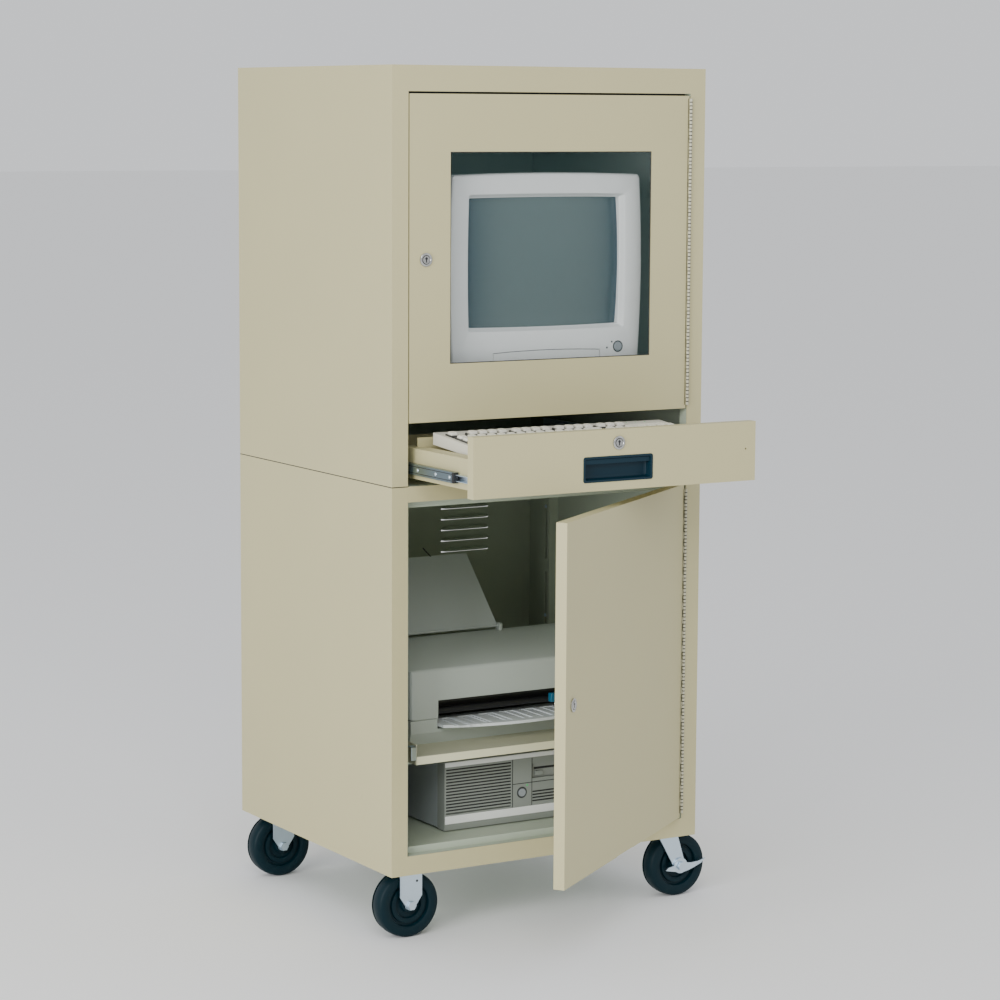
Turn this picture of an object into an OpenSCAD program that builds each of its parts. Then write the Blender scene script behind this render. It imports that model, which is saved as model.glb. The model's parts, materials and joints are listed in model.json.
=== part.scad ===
// Computer workstation tower: a wheeled two-part steel cabinet with its monitor, keyboard, printer
// and desktop computer. Millimetres, +Z up, front towards -Y. The origin is on the floor, under the
// middle of the cabinet. Inside at_body() the origin is the cabinet's lower front left corner.

/* [Cabinet] */
// Outside width
body_w = 622.3; // [615:0.1:640]
// Outside depth
body_d = 571.5; // [560:0.5:620]
// Height of the lower cabinet
lower_h = 664.4; // [660:0.2:670]
// Height of the upper cabinet
upper_h = 696.6; // [690:0.2:760]
// Floor to the underside of the cabinet
base_h = 117.5; // [117.5:0.5:125]
// Thickness of the cabinet steel
sheet = 1.6; // [1.2:0.1:1.6]
// Width of the front posts
post_w = 30.5; // [30:0.1:31]

/* [Doors and drawer] */
// Thickness of the folded door panels
door_t = 19; // [17:0.5:19]
// How far the lower door stands open, in degrees
lower_open = 36; // [0:1:120]
// How far the keyboard drawer is pulled out
drawer_out = 210; // [0:5:380]
// Height of the drawer front
drawer_front_h = 101; // [98:0.5:101]
// Diameter of the lock faces
lock_d = 22.6; // [21:0.1:24]

/* [Casters] */
// Wheel diameter
wheel_d = 115; // [110:1:116]
// Wheel width
wheel_w = 35; // [30:1:35]
// Wheel middle to the front or back face
caster_inset = 46; // [46:0.5:50]
// Swivel caster trail, kingpin to axle
trail = 35; // [30:1:36]

/* [Equipment] */
// Width of the monitor face
monitor_w = 389; // [360:1:395]
// Height of the monitor face
monitor_h = 331; // [300:1:335]
// Width of the printer
printer_w = 430; // [400:1:440]
// Width of the desktop computer
pc_w = 430; // [400:1:435]
// Width of the keyboard
keyboard_w = 456; // [450:1:458]

/* [Hidden] */
$fn = 64;

// Colours
putty = [0.72, 0.69, 0.59];
zinc = [0.72, 0.76, 0.80];
chrome = [0.80, 0.80, 0.82];
rubber = [0.07, 0.13, 0.15];
pull_blue = [0.05, 0.11, 0.18];
grey_white = [0.78, 0.81, 0.82];
ivory = [0.84, 0.83, 0.76];
pc_grey = [0.70, 0.73, 0.72];
board_green = [0.10, 0.35, 0.20];
glass_grey = [0.30, 0.36, 0.37];

// Cabinet frame, all from the cabinet's own corner
full_h = lower_h + upper_h;
mid_x = body_w / 2;
stop_y = 20;              // back of a closed door to the front face
stop_w = 12;              // how far a door stop reaches past its post
gap = 2.4;                // gap round a door
open_l = post_w;          // left edge of the openings
open_r = body_w - post_w; // right edge of the openings
over = 1;                 // how far a cutter runs past what it cuts

upper_door_z0 = lower_h + 106.1;
upper_door_z1 = full_h - 46.6;
top_rail_z = full_h - 43;
lower_door_z0 = 35.5;
lower_door_z1 = lower_h - 28.4;
sill_z = 33;
floor_z = 44;
lower_rail_z = lower_h - 26.4;
deck_z = lower_h + 125.6;
door_l = open_l + gap;
door_r = open_r - 2.9;

// Window in the upper door
window_x0 = 110.7;
window_x1 = 511.3;
window_z0 = lower_h + 202.5;
window_z1 = lower_h + 554.7;
pane_lap = 15;
pane_y = sheet + 0.3;
pane_t = 4;
bar_w = 10;
bar_d = 12;

// Continuous hinges
hinge_x = open_r - 1.45;
hinge_y = -3.2;
knuckle_r = 2.4;
hinge_pin_r = 1.25;
hinge_bore_r = 1.3;
knuckle_pitch = 12.7;
knuckle_gap = 0.5;
upper_knuckles = 42;
lower_knuckles = 46;
upper_hinge_z0 = upper_door_z0 + 6;
lower_hinge_z0 = lower_door_z0 + 8;
leaf_y0 = 0.2;
leaf_y1 = 17;
fixed_leaf_x = [hinge_x + 0.25, hinge_x + 1.35];
moving_leaf_x = [hinge_x - 1.4, hinge_x - 0.3];

// Locks
lock_face_t = 2.5;
lock_barrel_r = 9.5;
lock_hole_r = 9.6;
lock_barrel_l = 23;
plug_r = 6.5;
plug_bore_r = 6.56;
plug_proud = 0.6;
cam_t = 2;
cam_w = 12;
cam_l = 36;
lock_nut_r = 13;
lock_inset = 30.5;
upper_lock = [door_l + lock_inset, upper_door_z0 + 271];
lower_lock = [door_l + lock_inset, lower_door_z0 + 300];
drawer_lock = [mid_x, lower_h + 80.1];

// Drawer, from its closed place
drawer_z0 = lower_h + 1.6;
drawer_front_t = 18;
drawer_r = open_r - 2.5;
pull_w = 137;
pull_h = 43;
pull_z0 = lower_h + 16;
pull_depth = 15;
pull_wall = 1.5;
pull_rim = 4;
hole_x = mid_x + 258.3;
hole_z = lower_h + 56.3;
side_x = 48;
tray_x = 77;
side_top_z = lower_h + 62.6;
side_low_z = lower_h + 11.6;
tray_z = lower_h + 51.6;
tray_back_y = 235;
side_back_y = 410;
back_wall_z = lower_h + 78.6;

// Telescopic runners, from their closed place
runner_ratio = 0.77;
outer_x = 33.8;
middle_x = 36.2;
inner_x = 38.6;
runner_mid_z = lower_h + 29.6;
outer_h = 36;
middle_h = 18;
inner_h = 11;
rail_t = 1.2;
middle_y = [20.2, 424];
inner_y = [20, 400];
outer_y = [24, 470];
middle_flange_x = 45.2;
outer_flange_x = 41;

// Printer shelf
shelf_x0 = 61;
shelf_y0 = 25;
shelf_y1 = 480;
shelf_z = 197;
shelf_lip_h = 14;
shelf_side_h = 22;
upright_w = 24;
upright_d = 18;
slot_h = 100;
slot_w = 6;
slot_pitch = 125;

// Louvres in the back panels
louvre_w = 104;
louvre_h = 3.4;
louvre_pitch = 20.6;
louvres = 5;
louvre_x = 422;
louvre_z = lower_h - 212.4;
upper_louvre_z = lower_h + 250;
cable_hole_r = 25.4;
cable_hole_z = 110;

// Casters
axle_z = wheel_d / 2 - base_h;
caster_l = 51;
caster_r = body_w - 51.3;
axle_r = 6;
axle_bore_r = 6.02;
wheel_bore_r = 6.08;
leg_t = 3;
leg_in = wheel_w / 2 + 2;
leg_out = leg_in + leg_t;
plate_z = floor_z - sheet;
plate_t = 3;
plate_half = 46;
fork_half = 21.5;
shoulder_z = axle_z + 16;
kingpin_r = 6;
king_bore_r = 6.06;
boss_r = 23;
crown_r = 30;
crown_z = 22;
crown_t = 8;
head_t = 5;
head_r = 8;
brake_t = 3;

// Monitor
monitor_x = 326.8;
monitor_y = 40;
monitor_z = deck_z + 62;
bezel_d = 35;
screen_w = 308;
screen_h = 225;
screen_z = monitor_z + 66;
swivel_y = 200;
rocker_r = 80;
rocker_gap = 0.5;
rocker_z = monitor_z + 53;
rocker_w = 100;
base_r = 115;
base_t = 15;
housing_wall = 3;
button_r = 8;
button_x = monitor_x + 145;
button_z = monitor_z + 29;
flap_w = 214;
flap_h = 20;
flap_t = 3;

// Keyboard, from the drawer's closed place
key_unit = 19.05;
key_gap = 1.4;
key_h = 9;
key_d = 17.6;
keyboard_y = 53;
keyboard_d = 165;
keyboard_front_h = 20;
keyboard_back_h = 36;
keyboard_slope = atan((keyboard_back_h - keyboard_front_h) / keyboard_d);
main_units = 15;
nav_at = 15.4;
pad_at = 18.8;
first_row_y = 14;
function_row_y = 122;
key_rows = [
    [1.5, 1, 1.5, 7, 1.5, 1, 1.5],
    [2.25, 1, 1, 1, 1, 1, 1, 1, 1, 1, 1, 2.75],
    [1.75, 1, 1, 1, 1, 1, 1, 1, 1, 1, 1, 1, 2.25],
    [1.5, 1, 1, 1, 1, 1, 1, 1, 1, 1, 1, 1, 1, 1.5],
    [1, 1, 1, 1, 1, 1, 1, 1, 1, 1, 1, 1, 1, 2]
];
space_key = 3;

// Printer, standing on the shelf
printer_x = (body_w - printer_w) / 2;
printer_y = 106;
printer_d = 236;
seam_h = 43;
slot_top_h = 75;
front_top_h = 134;
back_top_h = 168;
slot_x = 55;
slot_len = 320;
wall = 3;
tray_front = 46;
tray_t = 5;
support_x = 30;
support_w = 230;
support_top_w = 192;
support_l = 146;
support_t = 3;
support_lean = 33;
support_y = printer_y + 146;
support_z = shelf_z + 168;
support_pin_r = 2.5;
support_bore_r = 2.56;
support_ear = 8;

// Desktop computer, standing on the lower floor
pc_x = 149;
pc_y = 80;
pc_z = floor_z;
pc_h = 122;
pc_d = 420;
pc_bezel_d = 25;
pc_foot_h = 4;
vent_w = 137;
vent_z0 = 30;
vent_z1 = 113;
vent_slats = 15;
column_w = 40;
strip_h = 29;
drive_w = 101.6;
drive_h = 25.4;
drive_z = 76;
drive_x = 178;
power_x = 157;
power_z = 53;
power_r = 7;

// A box from its lowest to its highest corner
module block(lo, hi) {
    translate(lo)
        cube([hi[0] - lo[0], hi[1] - lo[1], hi[2] - lo[2]]);
}

// Children in the cabinet's own corner frame
module at_body() {
    translate([-body_w / 2, -body_d / 2, base_h])
        children();
}

// Children, and their mirror image on the cabinet's right
module both_sides() {
    children();
    translate([body_w, 0, 0])
        mirror([1, 0, 0])
            children();
}

// Children at the lower door's rest place, turned open about its hinge
module at_lower_door() {
    translate([hinge_x, hinge_y, 0])
        rotate([0, 0, lower_open])
            translate([-hinge_x, -hinge_y, 0])
                children();
}

// Children at the drawer's rest place
module at_drawer() {
    translate([0, -drawer_out, 0])
        children();
}

// A round bar along Y from y0 to y1
module bar_y(x, z, y0, y1, r) {
    translate([x, y0, z])
        rotate([-90, 0, 0])
            cylinder(r = r, h = y1 - y0);
}

// A round bar along X from x0 to x1
module bar_x(y, z, x0, x1, r) {
    translate([x0, y, z])
        rotate([0, 90, 0])
            cylinder(r = r, h = x1 - x0);
}

// A hexagonal head or nut along Y
module hex_y(x, z, y0, y1, r) {
    translate([x, y0, z])
        rotate([-90, 0, 0])
            cylinder(r = r, h = y1 - y0, $fn = 6);
}

// A flat outline with round corners, all exact arcs
module round_rect(w, h, r) {
    translate([r, 0])
        square([w - 2 * r, h]);
    translate([0, r])
        square([w, h - 2 * r]);
    for (x = [r, w - r], y = [r, h - r])
        translate([x, y])
            circle(r = r);
}

// An upright plate with round corners, from y0 to y1
module round_plate(x, z, w, h, r, y0, y1) {
    translate([x, y1, z])
        rotate([90, 0, 0])
            linear_extrude(height = y1 - y0)
                round_rect(w, h, r);
}

// A front post with its jamb from jamb_z0 up; the door stop runs from stop_z0 to stop_z1
module post(z0, z1, jamb_z0, stop_z0, stop_z1) {
    block([0, 0, z0], [post_w, sheet, z1]);
    block([post_w - sheet, 0, jamb_z0], [post_w, stop_y + sheet, z1]);
    block([post_w - sheet, stop_y, stop_z0], [post_w + stop_w, stop_y + sheet, stop_z1]);
}

// The header over a door opening, with its return and door stop
module header(z0, z1) {
    block([post_w, 0, z0], [body_w - post_w, sheet, z1]);
    block([post_w, 0, z0], [body_w - post_w, stop_y + sheet, z0 + sheet]);
    block([post_w, stop_y, z0 - stop_w], [body_w - post_w, stop_y + sheet, z0 + sheet]);
}

module upper_shell() {
    color(putty)
        at_body() {
            both_sides() {
                block([0, 0, lower_h], [sheet, body_d, full_h]);
                post(lower_h, full_h, lower_h, upper_door_z0, top_rail_z);
                block([0, stop_y, lower_h], [22, body_d - sheet, lower_h + sheet]);
            }
            header(top_rail_z, full_h);
            block([0, 0, full_h - sheet], [body_w, body_d, full_h]);
        }
}

// Slots of one louvre group, cut through a back panel
module louvre_slots(x, z) {
    for (i = [0 : louvres - 1])
        block([x, body_d - sheet - over, z + i * louvre_pitch],
              [x + louvre_w, body_d + over, z + i * louvre_pitch + louvre_h]);
}

// A back panel between two heights
module back_panel(z0, z1) {
    block([sheet, body_d - sheet, z0], [body_w - sheet, body_d, z1]);
}

module upper_back() {
    color(putty)
        at_body()
            difference() {
                back_panel(lower_h, full_h - sheet);
                for (x = [body_w - louvre_x - louvre_w, louvre_x])
                    louvre_slots(x, upper_louvre_z);
                bar_y(mid_x, lower_h + 40, body_d - 2 * sheet, body_d + over, cable_hole_r);
            }
}

module monitor_deck() {
    color(putty)
        at_body() {
            block([sheet, stop_y + sheet, deck_z - sheet], [body_w - sheet, body_d - sheet, deck_z]);
            block([sheet, stop_y + sheet, upper_door_z0 + 2],
                  [body_w - sheet, stop_y + 2 * sheet, deck_z]);
        }
}

module lower_shell() {
    color(putty)
        at_body() {
            both_sides() {
                block([0, 0, 0], [sheet, body_d, lower_h]);
                post(0, lower_h, sill_z - sheet, sill_z, lower_rail_z);
            }
            header(lower_rail_z, lower_h);
            block([0, 0, lower_h - sheet], [body_w, body_d, lower_h]);
            block([post_w, 0, 0], [body_w - post_w, sheet, sill_z]);
            block([post_w, 0, sill_z - sheet], [body_w - post_w, stop_y + sheet, sill_z]);
            block([post_w, stop_y, sill_z - sheet], [body_w - post_w, stop_y + sheet, floor_z]);
            block([sheet, stop_y, floor_z - sheet], [body_w - sheet, body_d - sheet, floor_z]);
        }
}

module lower_back() {
    color(putty)
        at_body()
            difference() {
                back_panel(0, lower_h - sheet);
                for (x = [body_w - louvre_x - louvre_w, louvre_x])
                    louvre_slots(x, louvre_z);
                bar_y(mid_x, cable_hole_z, body_d - 2 * sheet, body_d + over, cable_hole_r);
            }
}

// A slotted upright against the left side wall, starting at depth y
module upright(y) {
    difference() {
        block([sheet, y, floor_z], [sheet + upright_d, y + upright_w, lower_h - 4 * sheet]);
        block([0, y + 2, floor_z - over], [sheet + upright_d - 2, y + upright_w - 2, lower_h]);
        for (z = [floor_z + 20 : slot_pitch : lower_h - slot_h - 20])
            block([0, y + (upright_w - slot_w) / 2, z],
                  [2 * upright_d, y + (upright_w + slot_w) / 2, z + slot_h]);
    }
}

module shelf_supports() {
    color(putty)
        at_body()
            both_sides() {
                upright(56);
                upright(470);
                block([sheet + upright_d, 50, shelf_z - shelf_lip_h - sheet],
                      [sheet + upright_d + 2, 500, shelf_z + shelf_side_h]);
                block([sheet + upright_d, 50, shelf_z - shelf_lip_h - 2 * sheet],
                      [shelf_x0 + 20, 500, shelf_z - shelf_lip_h]);
            }
}

module printer_shelf() {
    color([0.86, 0.82, 0.66])
        at_body() {
            block([shelf_x0, shelf_y0, shelf_z - sheet], [body_w - shelf_x0, shelf_y1, shelf_z]);
            block([shelf_x0, shelf_y0, shelf_z - shelf_lip_h],
                  [body_w - shelf_x0, shelf_y0 + sheet, shelf_z]);
            block([shelf_x0, shelf_y1 - sheet, shelf_z - shelf_lip_h],
                  [body_w - shelf_x0, shelf_y1, shelf_z]);
            both_sides()
                block([shelf_x0, shelf_y0, shelf_z - shelf_lip_h],
                      [shelf_x0 + sheet, shelf_y1, shelf_z + shelf_side_h]);
        }
}

// A folded door panel: skin, edges and the inside lips
module door_panel(z0, z1) {
    lip = 14;
    block([door_l, 0, z0], [door_r, sheet, z1]);
    for (x = [door_l, door_r - sheet])
        block([x, 0, z0], [x + sheet, door_t, z1]);
    for (z = [z0, z1 - sheet])
        block([door_l, 0, z], [door_r, door_t, z + sheet]);
    for (x = [door_l, door_r - lip])
        block([x, door_t - sheet, z0], [x + lip, door_t, z1]);
    for (z = [z0, z1 - lip])
        block([door_l, door_t - sheet, z], [door_r, door_t, z + lip]);
}

// The hole in a door or drawer skin for a lock barrel
module lock_hole(lock) {
    bar_y(lock[0], lock[1], -over, sheet + over, lock_hole_r);
}

module upper_door() {
    x0 = window_x0 - pane_lap;
    x1 = window_x1 + pane_lap;
    z0 = window_z0 - pane_lap;
    z1 = window_z1 + pane_lap;
    color(putty)
        at_body()
            difference() {
                union() {
                    door_panel(upper_door_z0, upper_door_z1);
                    block([x0 - bar_w, sheet, z0 - bar_w], [x1 + bar_w, bar_d, z0 - 0.2]);
                    block([x0 - bar_w, sheet, z1 + 0.2], [x1 + bar_w, bar_d, z1 + bar_w]);
                    block([x0 - bar_w, sheet, z0 - bar_w], [x0 - 0.2, bar_d, z1 + bar_w]);
                    block([x1 + 0.2, sheet, z0 - bar_w], [x1 + bar_w, bar_d, z1 + bar_w]);
                }
                block([window_x0, -over, window_z0], [window_x1, sheet + over / 10, window_z1]);
                lock_hole(upper_lock);
            }
}

module window_pane() {
    color([0.75, 0.85, 0.85, 0.3])
        at_body()
            block([window_x0 - pane_lap, pane_y, window_z0 - pane_lap],
                  [window_x1 + pane_lap, pane_y + pane_t, window_z1 + pane_lap]);
}

module lower_door() {
    color(putty)
        at_body()
            at_lower_door()
                difference() {
                    union() {
                        door_panel(lower_door_z0, lower_door_z1);
                        block([mid_x - 40, sheet, lower_door_z0 + sheet],
                              [mid_x + 40, door_t - 6, lower_door_z1 - sheet]);
                    }
                    block([mid_x - 38, 0, lower_door_z0 - over],
                          [mid_x + 38, door_t - 8, lower_door_z0 + sheet / 2]);
                    block([mid_x - 38, sheet, lower_door_z0 + sheet],
                          [mid_x + 38, door_t - 8, lower_door_z1 - sheet]);
                    lock_hole(lower_lock);
                }
}

// Every second knuckle of a hinge, first being 0 or 1, with its tab to a leaf
module knuckles(z0, count, first, leaf_x) {
    for (i = [first : 2 : count - 1]) {
        z = z0 + i * knuckle_pitch + knuckle_gap / 2;
        translate([hinge_x, hinge_y, z])
            cylinder(r = knuckle_r, h = knuckle_pitch - knuckle_gap);
        block([leaf_x[0], hinge_y, z],
              [leaf_x[1], leaf_y0 + sheet, z + knuckle_pitch - knuckle_gap]);
    }
}

// One leaf of a continuous hinge
module hinge_leaf(z0, count, first, leaf_x) {
    difference() {
        union() {
            block([leaf_x[0], leaf_y0, z0], [leaf_x[1], leaf_y1, z0 + count * knuckle_pitch]);
            knuckles(z0, count, first, leaf_x);
        }
        translate([hinge_x, hinge_y, z0 - over])
            cylinder(r = hinge_bore_r, h = count * knuckle_pitch + 2 * over);
    }
}

module hinge_fixed_leaves() {
    color(putty)
        at_body() {
            hinge_leaf(upper_hinge_z0, upper_knuckles, 0, fixed_leaf_x);
            hinge_leaf(lower_hinge_z0, lower_knuckles, 0, fixed_leaf_x);
        }
}

module upper_hinge_leaf() {
    color(putty)
        at_body()
            hinge_leaf(upper_hinge_z0, upper_knuckles, 1, moving_leaf_x);
}

module lower_hinge_leaf() {
    color(putty)
        at_body()
            at_lower_door()
                hinge_leaf(lower_hinge_z0, lower_knuckles, 1, moving_leaf_x);
}

module hinge_pins() {
    color(zinc)
        at_body() {
            translate([hinge_x, hinge_y, upper_hinge_z0])
                cylinder(r = hinge_pin_r, h = upper_knuckles * knuckle_pitch);
            translate([hinge_x, hinge_y, lower_hinge_z0])
                cylinder(r = hinge_pin_r, h = lower_knuckles * knuckle_pitch);
        }
}

// Lock body: face, barrel and nut, with the plug's bore
module lock_body(lock) {
    x = lock[0];
    z = lock[1];
    difference() {
        union() {
            bar_y(x, z, -lock_face_t, 0, lock_d / 2);
            bar_y(x, z, -over, lock_barrel_l, lock_barrel_r);
            hex_y(x, z, sheet + 0.1, sheet + 6, lock_nut_r);
        }
        bar_y(x, z, -lock_face_t - over, lock_barrel_l + over, plug_bore_r);
    }
}

// Lock plug with its keyway and its cam, which points at an angle from +X
module lock_plug(lock, angle) {
    x = lock[0];
    z = lock[1];
    back = lock_barrel_l + 1.5;
    difference() {
        bar_y(x, z, -lock_face_t - plug_proud, back + cam_t, plug_r);
        block([x - 1, -lock_face_t - over, z - 4.5], [x + 1, 8, z + 4.5]);
    }
    translate([x, 0, z])
        rotate([0, -angle, 0])
            block([0, back, -cam_w / 2], [cam_l, back + cam_t, cam_w / 2]);
    bar_y(x, z, back, back + cam_t + 3, plug_r - 1);
}

module upper_lock_body() {
    color(chrome)
        at_body()
            lock_body(upper_lock);
}

module upper_lock_plug() {
    color(chrome)
        at_body()
            lock_plug(upper_lock, -90);
}

module lower_lock_body() {
    color(chrome)
        at_body()
            at_lower_door()
                lock_body(lower_lock);
}

module lower_lock_plug() {
    color(chrome)
        at_body()
            at_lower_door()
                lock_plug(lower_lock, -90);
}

module drawer_lock_body() {
    color(chrome)
        at_body()
            at_drawer()
                lock_body(drawer_lock);
}

module drawer_lock_plug() {
    color(chrome)
        at_body()
            at_drawer()
                lock_plug(drawer_lock, 180);
}

module drawer_front() {
    z1 = drawer_z0 + drawer_front_h;
    lip = 12;
    px = mid_x - pull_w / 2 + pull_rim / 2;
    pz = pull_z0 + pull_rim / 2;
    color(putty)
        at_body()
            at_drawer()
                difference() {
                    union() {
                        block([door_l, 0, drawer_z0], [drawer_r, sheet, z1]);
                        for (x = [door_l, drawer_r - sheet])
                            block([x, 0, drawer_z0], [x + sheet, drawer_front_t, z1]);
                        for (z = [drawer_z0, z1 - sheet])
                            block([door_l, 0, z], [drawer_r, drawer_front_t, z + sheet]);
                        for (x = [door_l, drawer_r - lip])
                            block([x, drawer_front_t - sheet, drawer_z0],
                                  [x + lip, drawer_front_t, z1]);
                    }
                    block([px, -over, pz],
                          [px + pull_w - pull_rim, sheet + over, pz + pull_h - pull_rim]);
                    lock_hole(drawer_lock);
                    bar_y(hole_x, hole_z, -over, sheet + over, 1.6);
                }
}

module drawer_pull() {
    x = mid_x - pull_w / 2;
    in = pull_rim / 2 + 0.1;
    color(pull_blue)
        at_body()
            at_drawer()
                difference() {
                    union() {
                        block([x, -1.4, pull_z0], [x + pull_w, 0, pull_z0 + pull_h]);
                        block([x + in, -1, pull_z0 + in],
                              [x + pull_w - in, pull_depth + pull_wall, pull_z0 + pull_h - in]);
                    }
                    block([x + pull_rim, -2 * over, pull_z0 + pull_rim],
                          [x + pull_w - pull_rim, pull_depth, pull_z0 + pull_h - pull_rim]);
                }
}

module drawer_box() {
    y0 = drawer_front_t;
    color(putty)
        at_body()
            at_drawer() {
                both_sides() {
                    block([side_x, y0, side_low_z], [side_x + sheet, side_back_y, side_top_z]);
                    block([side_x, y0, side_top_z - sheet], [tray_x, side_back_y, side_top_z]);
                    block([tray_x - sheet, y0, tray_z - sheet], [tray_x, tray_back_y, side_top_z]);
                }
                block([tray_x - sheet, y0, tray_z - sheet],
                      [body_w - tray_x + sheet, tray_back_y, tray_z]);
                block([side_x, y0, side_low_z], [body_w - side_x, y0 + sheet, side_top_z]);
                block([tray_x - 15, tray_back_y - sheet, tray_z - sheet],
                      [body_w - tray_x + 15, tray_back_y, back_wall_z]);
                block([side_x, side_back_y - sheet, side_low_z],
                      [body_w - side_x, side_back_y, side_top_z]);
            }
}

// A channel along Y: its web is at x0, its flanges reach to x1
module channel(x0, x1, y, h) {
    z0 = runner_mid_z - h / 2;
    z1 = runner_mid_z + h / 2;
    web = x1 > x0 ? [x0, x0 + rail_t] : [x0 - rail_t, x0];
    block([web[0], y[0], z0], [web[1], y[1], z1]);
    for (z = [z0, z1 - rail_t])
        block([min(x0, x1), y[0], z], [max(x0, x1), y[1], z + rail_t]);
}

module runner_outer() {
    color(zinc)
        at_body()
            both_sides() {
                channel(outer_x, outer_flange_x, outer_y, outer_h);
                for (y = [60, 400])
                    block([sheet, y, runner_mid_z - 8], [outer_x + rail_t, y + 24, runner_mid_z + 8]);
            }
}

module runner_middle() {
    color([0.55, 0.65, 0.75])
        at_body()
            translate([0, -drawer_out * runner_ratio, 0])
                both_sides()
                    channel(middle_x, middle_flange_x, middle_y, middle_h);
}

module runner_inner() {
    color(zinc)
        at_body()
            at_drawer()
                both_sides()
                    channel(side_x, inner_x, inner_y, inner_h);
}

// A pointed rigid fork leg in the X-Z plane, as an outline
module rigid_leg_outline() {
    polygon([[-fork_half, plate_z - plate_t], [-fork_half, shoulder_z], [-7, axle_z - 5],
             [7, axle_z - 5], [fork_half, shoulder_z], [fork_half, plate_z - plate_t]]);
    translate([0, axle_z])
        circle(r = 8.6);
}

// A slanted swivel fork leg, as an outline about the kingpin
module swivel_leg_outline() {
    polygon([[-22, crown_z + crown_t], [-21, crown_z - 6], [trail - 11, axle_z - 4],
             [trail + 11, axle_z + 4], [24, crown_z - 6], [24, crown_z + crown_t]]);
    translate([trail, axle_z])
        circle(r = 12);
}

// Both legs of a fork, from an outline, about its own X and Y
module legs(x, y) {
    for (side = [-leg_out, leg_in])
        translate([x, y + side + leg_t, 0])
            rotate([90, 0, 0])
                linear_extrude(height = leg_t)
                    children();
}

// The rectangular top plate of a caster; it reaches inwards, away from the front or back
module caster_plate(x, y, inwards) {
    near = y - inwards * 23;
    far = y + inwards * 40;
    block([x - plate_half, min(near, far), plate_z - plate_t],
          [x + plate_half, max(near, far), plate_z]);
}

module rigid_fork(y, inwards) {
    difference() {
        union() {
            caster_plate(caster_l, y, inwards);
            legs(caster_l, y)
                rigid_leg_outline();
        }
        bar_y(caster_l, axle_z, y - leg_out - over, y + leg_out + over, axle_bore_r);
    }
}

module rigid_forks() {
    color(zinc)
        at_body() {
            rigid_fork(caster_inset, 1);
            rigid_fork(body_d - caster_inset, -1);
        }
}

// An axle bolt with its head in front and its nut behind; extra lengthens the front
module axle(x, y, extra) {
    bar_y(x, axle_z, y - leg_out - extra - over, y + leg_out + over, axle_r);
    hex_y(x, axle_z, y - leg_out - extra - head_t, y - leg_out - extra - 0.2, head_r);
    hex_y(x, axle_z, y + leg_out + 0.2, y + leg_out + head_t, head_r);
}

module rigid_axles() {
    color(zinc)
        at_body()
            for (y = [caster_inset, body_d - caster_inset])
                axle(caster_l, y, 0);
}

module swivel_plate(y, inwards) {
    caster_plate(caster_r, y, inwards);
    translate([caster_r, y, crown_z + crown_t + 1])
        cylinder(r = boss_r, h = plate_z - plate_t - crown_z - crown_t - 1);
    translate([caster_r, y, crown_z - 2])
        cylinder(r = kingpin_r, h = plate_z - crown_z);
    translate([caster_r, y, crown_z - head_t - 1])
        cylinder(r = head_r, h = head_t + 0.5);
}

module swivel_plates() {
    color(zinc)
        at_body() {
            swivel_plate(caster_inset, 1);
            swivel_plate(body_d - caster_inset, -1);
        }
}

module swivel_fork(y) {
    difference() {
        union() {
            translate([caster_r, y, crown_z])
                cylinder(r = crown_r, h = crown_t);
            legs(caster_r, y)
                swivel_leg_outline();
        }
        translate([caster_r, y, crown_z - over])
            cylinder(r = king_bore_r, h = crown_t + 2 * over);
        bar_y(caster_r + trail, axle_z, y - leg_out - over, y + leg_out + over, axle_bore_r);
    }
}

module swivel_fork_front() {
    color(zinc)
        at_body()
            swivel_fork(caster_inset);
}

module swivel_fork_rear() {
    color(zinc)
        at_body()
            swivel_fork(body_d - caster_inset);
}

module swivel_axle_front() {
    color(zinc)
        at_body()
            axle(caster_r + trail, caster_inset, brake_t + 1);
}

module swivel_axle_rear() {
    color(zinc)
        at_body()
            axle(caster_r + trail, body_d - caster_inset, brake_t + 1);
}

// Side brake lever on the front end of an axle: a hub with two wings
module brake_lever(y) {
    y1 = y - leg_out - 0.4;
    difference() {
        translate([caster_r + trail, y1, axle_z])
            rotate([90, 0, 0]) {
                cylinder(r = 14, h = brake_t);
                linear_extrude(height = brake_t)
                    polygon([[0, 11], [10, 9], [14, 4], [24, 3], [38, 4], [54, 8], [45, 0], [30, -6],
                             [18, -10], [4, -13], [-8, -11], [-32, -6], [-26, -1], [-13, 1]]);
            }
        bar_y(caster_r + trail, axle_z, y1 - brake_t - over, y1 + over, wheel_bore_r);
    }
}

module brake_front() {
    color(chrome)
        at_body()
            brake_lever(caster_inset);
}

module brake_rear() {
    color(chrome)
        at_body()
            brake_lever(body_d - caster_inset);
}

// Wheel half-section: tread with round shoulders, stepped side, hub
module wheel_section() {
    r = wheel_d / 2;
    h = wheel_w / 2;
    shoulder = 5;
    difference() {
        union() {
            translate([wheel_bore_r, -h])
                square([r - shoulder - wheel_bore_r, 2 * h]);
            translate([r - shoulder, shoulder - h])
                square([shoulder, 2 * (h - shoulder)]);
            for (y = [-h + shoulder, h - shoulder])
                translate([r - shoulder, y])
                    circle(r = shoulder);
        }
        for (side = [0, 1])
            mirror([0, side]) {
                translate([20, h - 6])
                    square([17, 6 + over]);
                translate([37, h - 2.5])
                    square([4, 2.5 + over]);
            }
    }
}

module wheel(x, y) {
    color(rubber)
        at_body()
            translate([x, y, axle_z])
                rotate([90, 0, 0])
                    rotate_extrude()
                        wheel_section();
}

module monitor_base() {
    color(grey_white)
        at_body() {
            translate([monitor_x, swivel_y, deck_z])
                cylinder(r = base_r, h = base_t);
            translate([monitor_x, swivel_y, deck_z + base_t])
                cylinder(r = 12, h = 4);
        }
}

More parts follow.
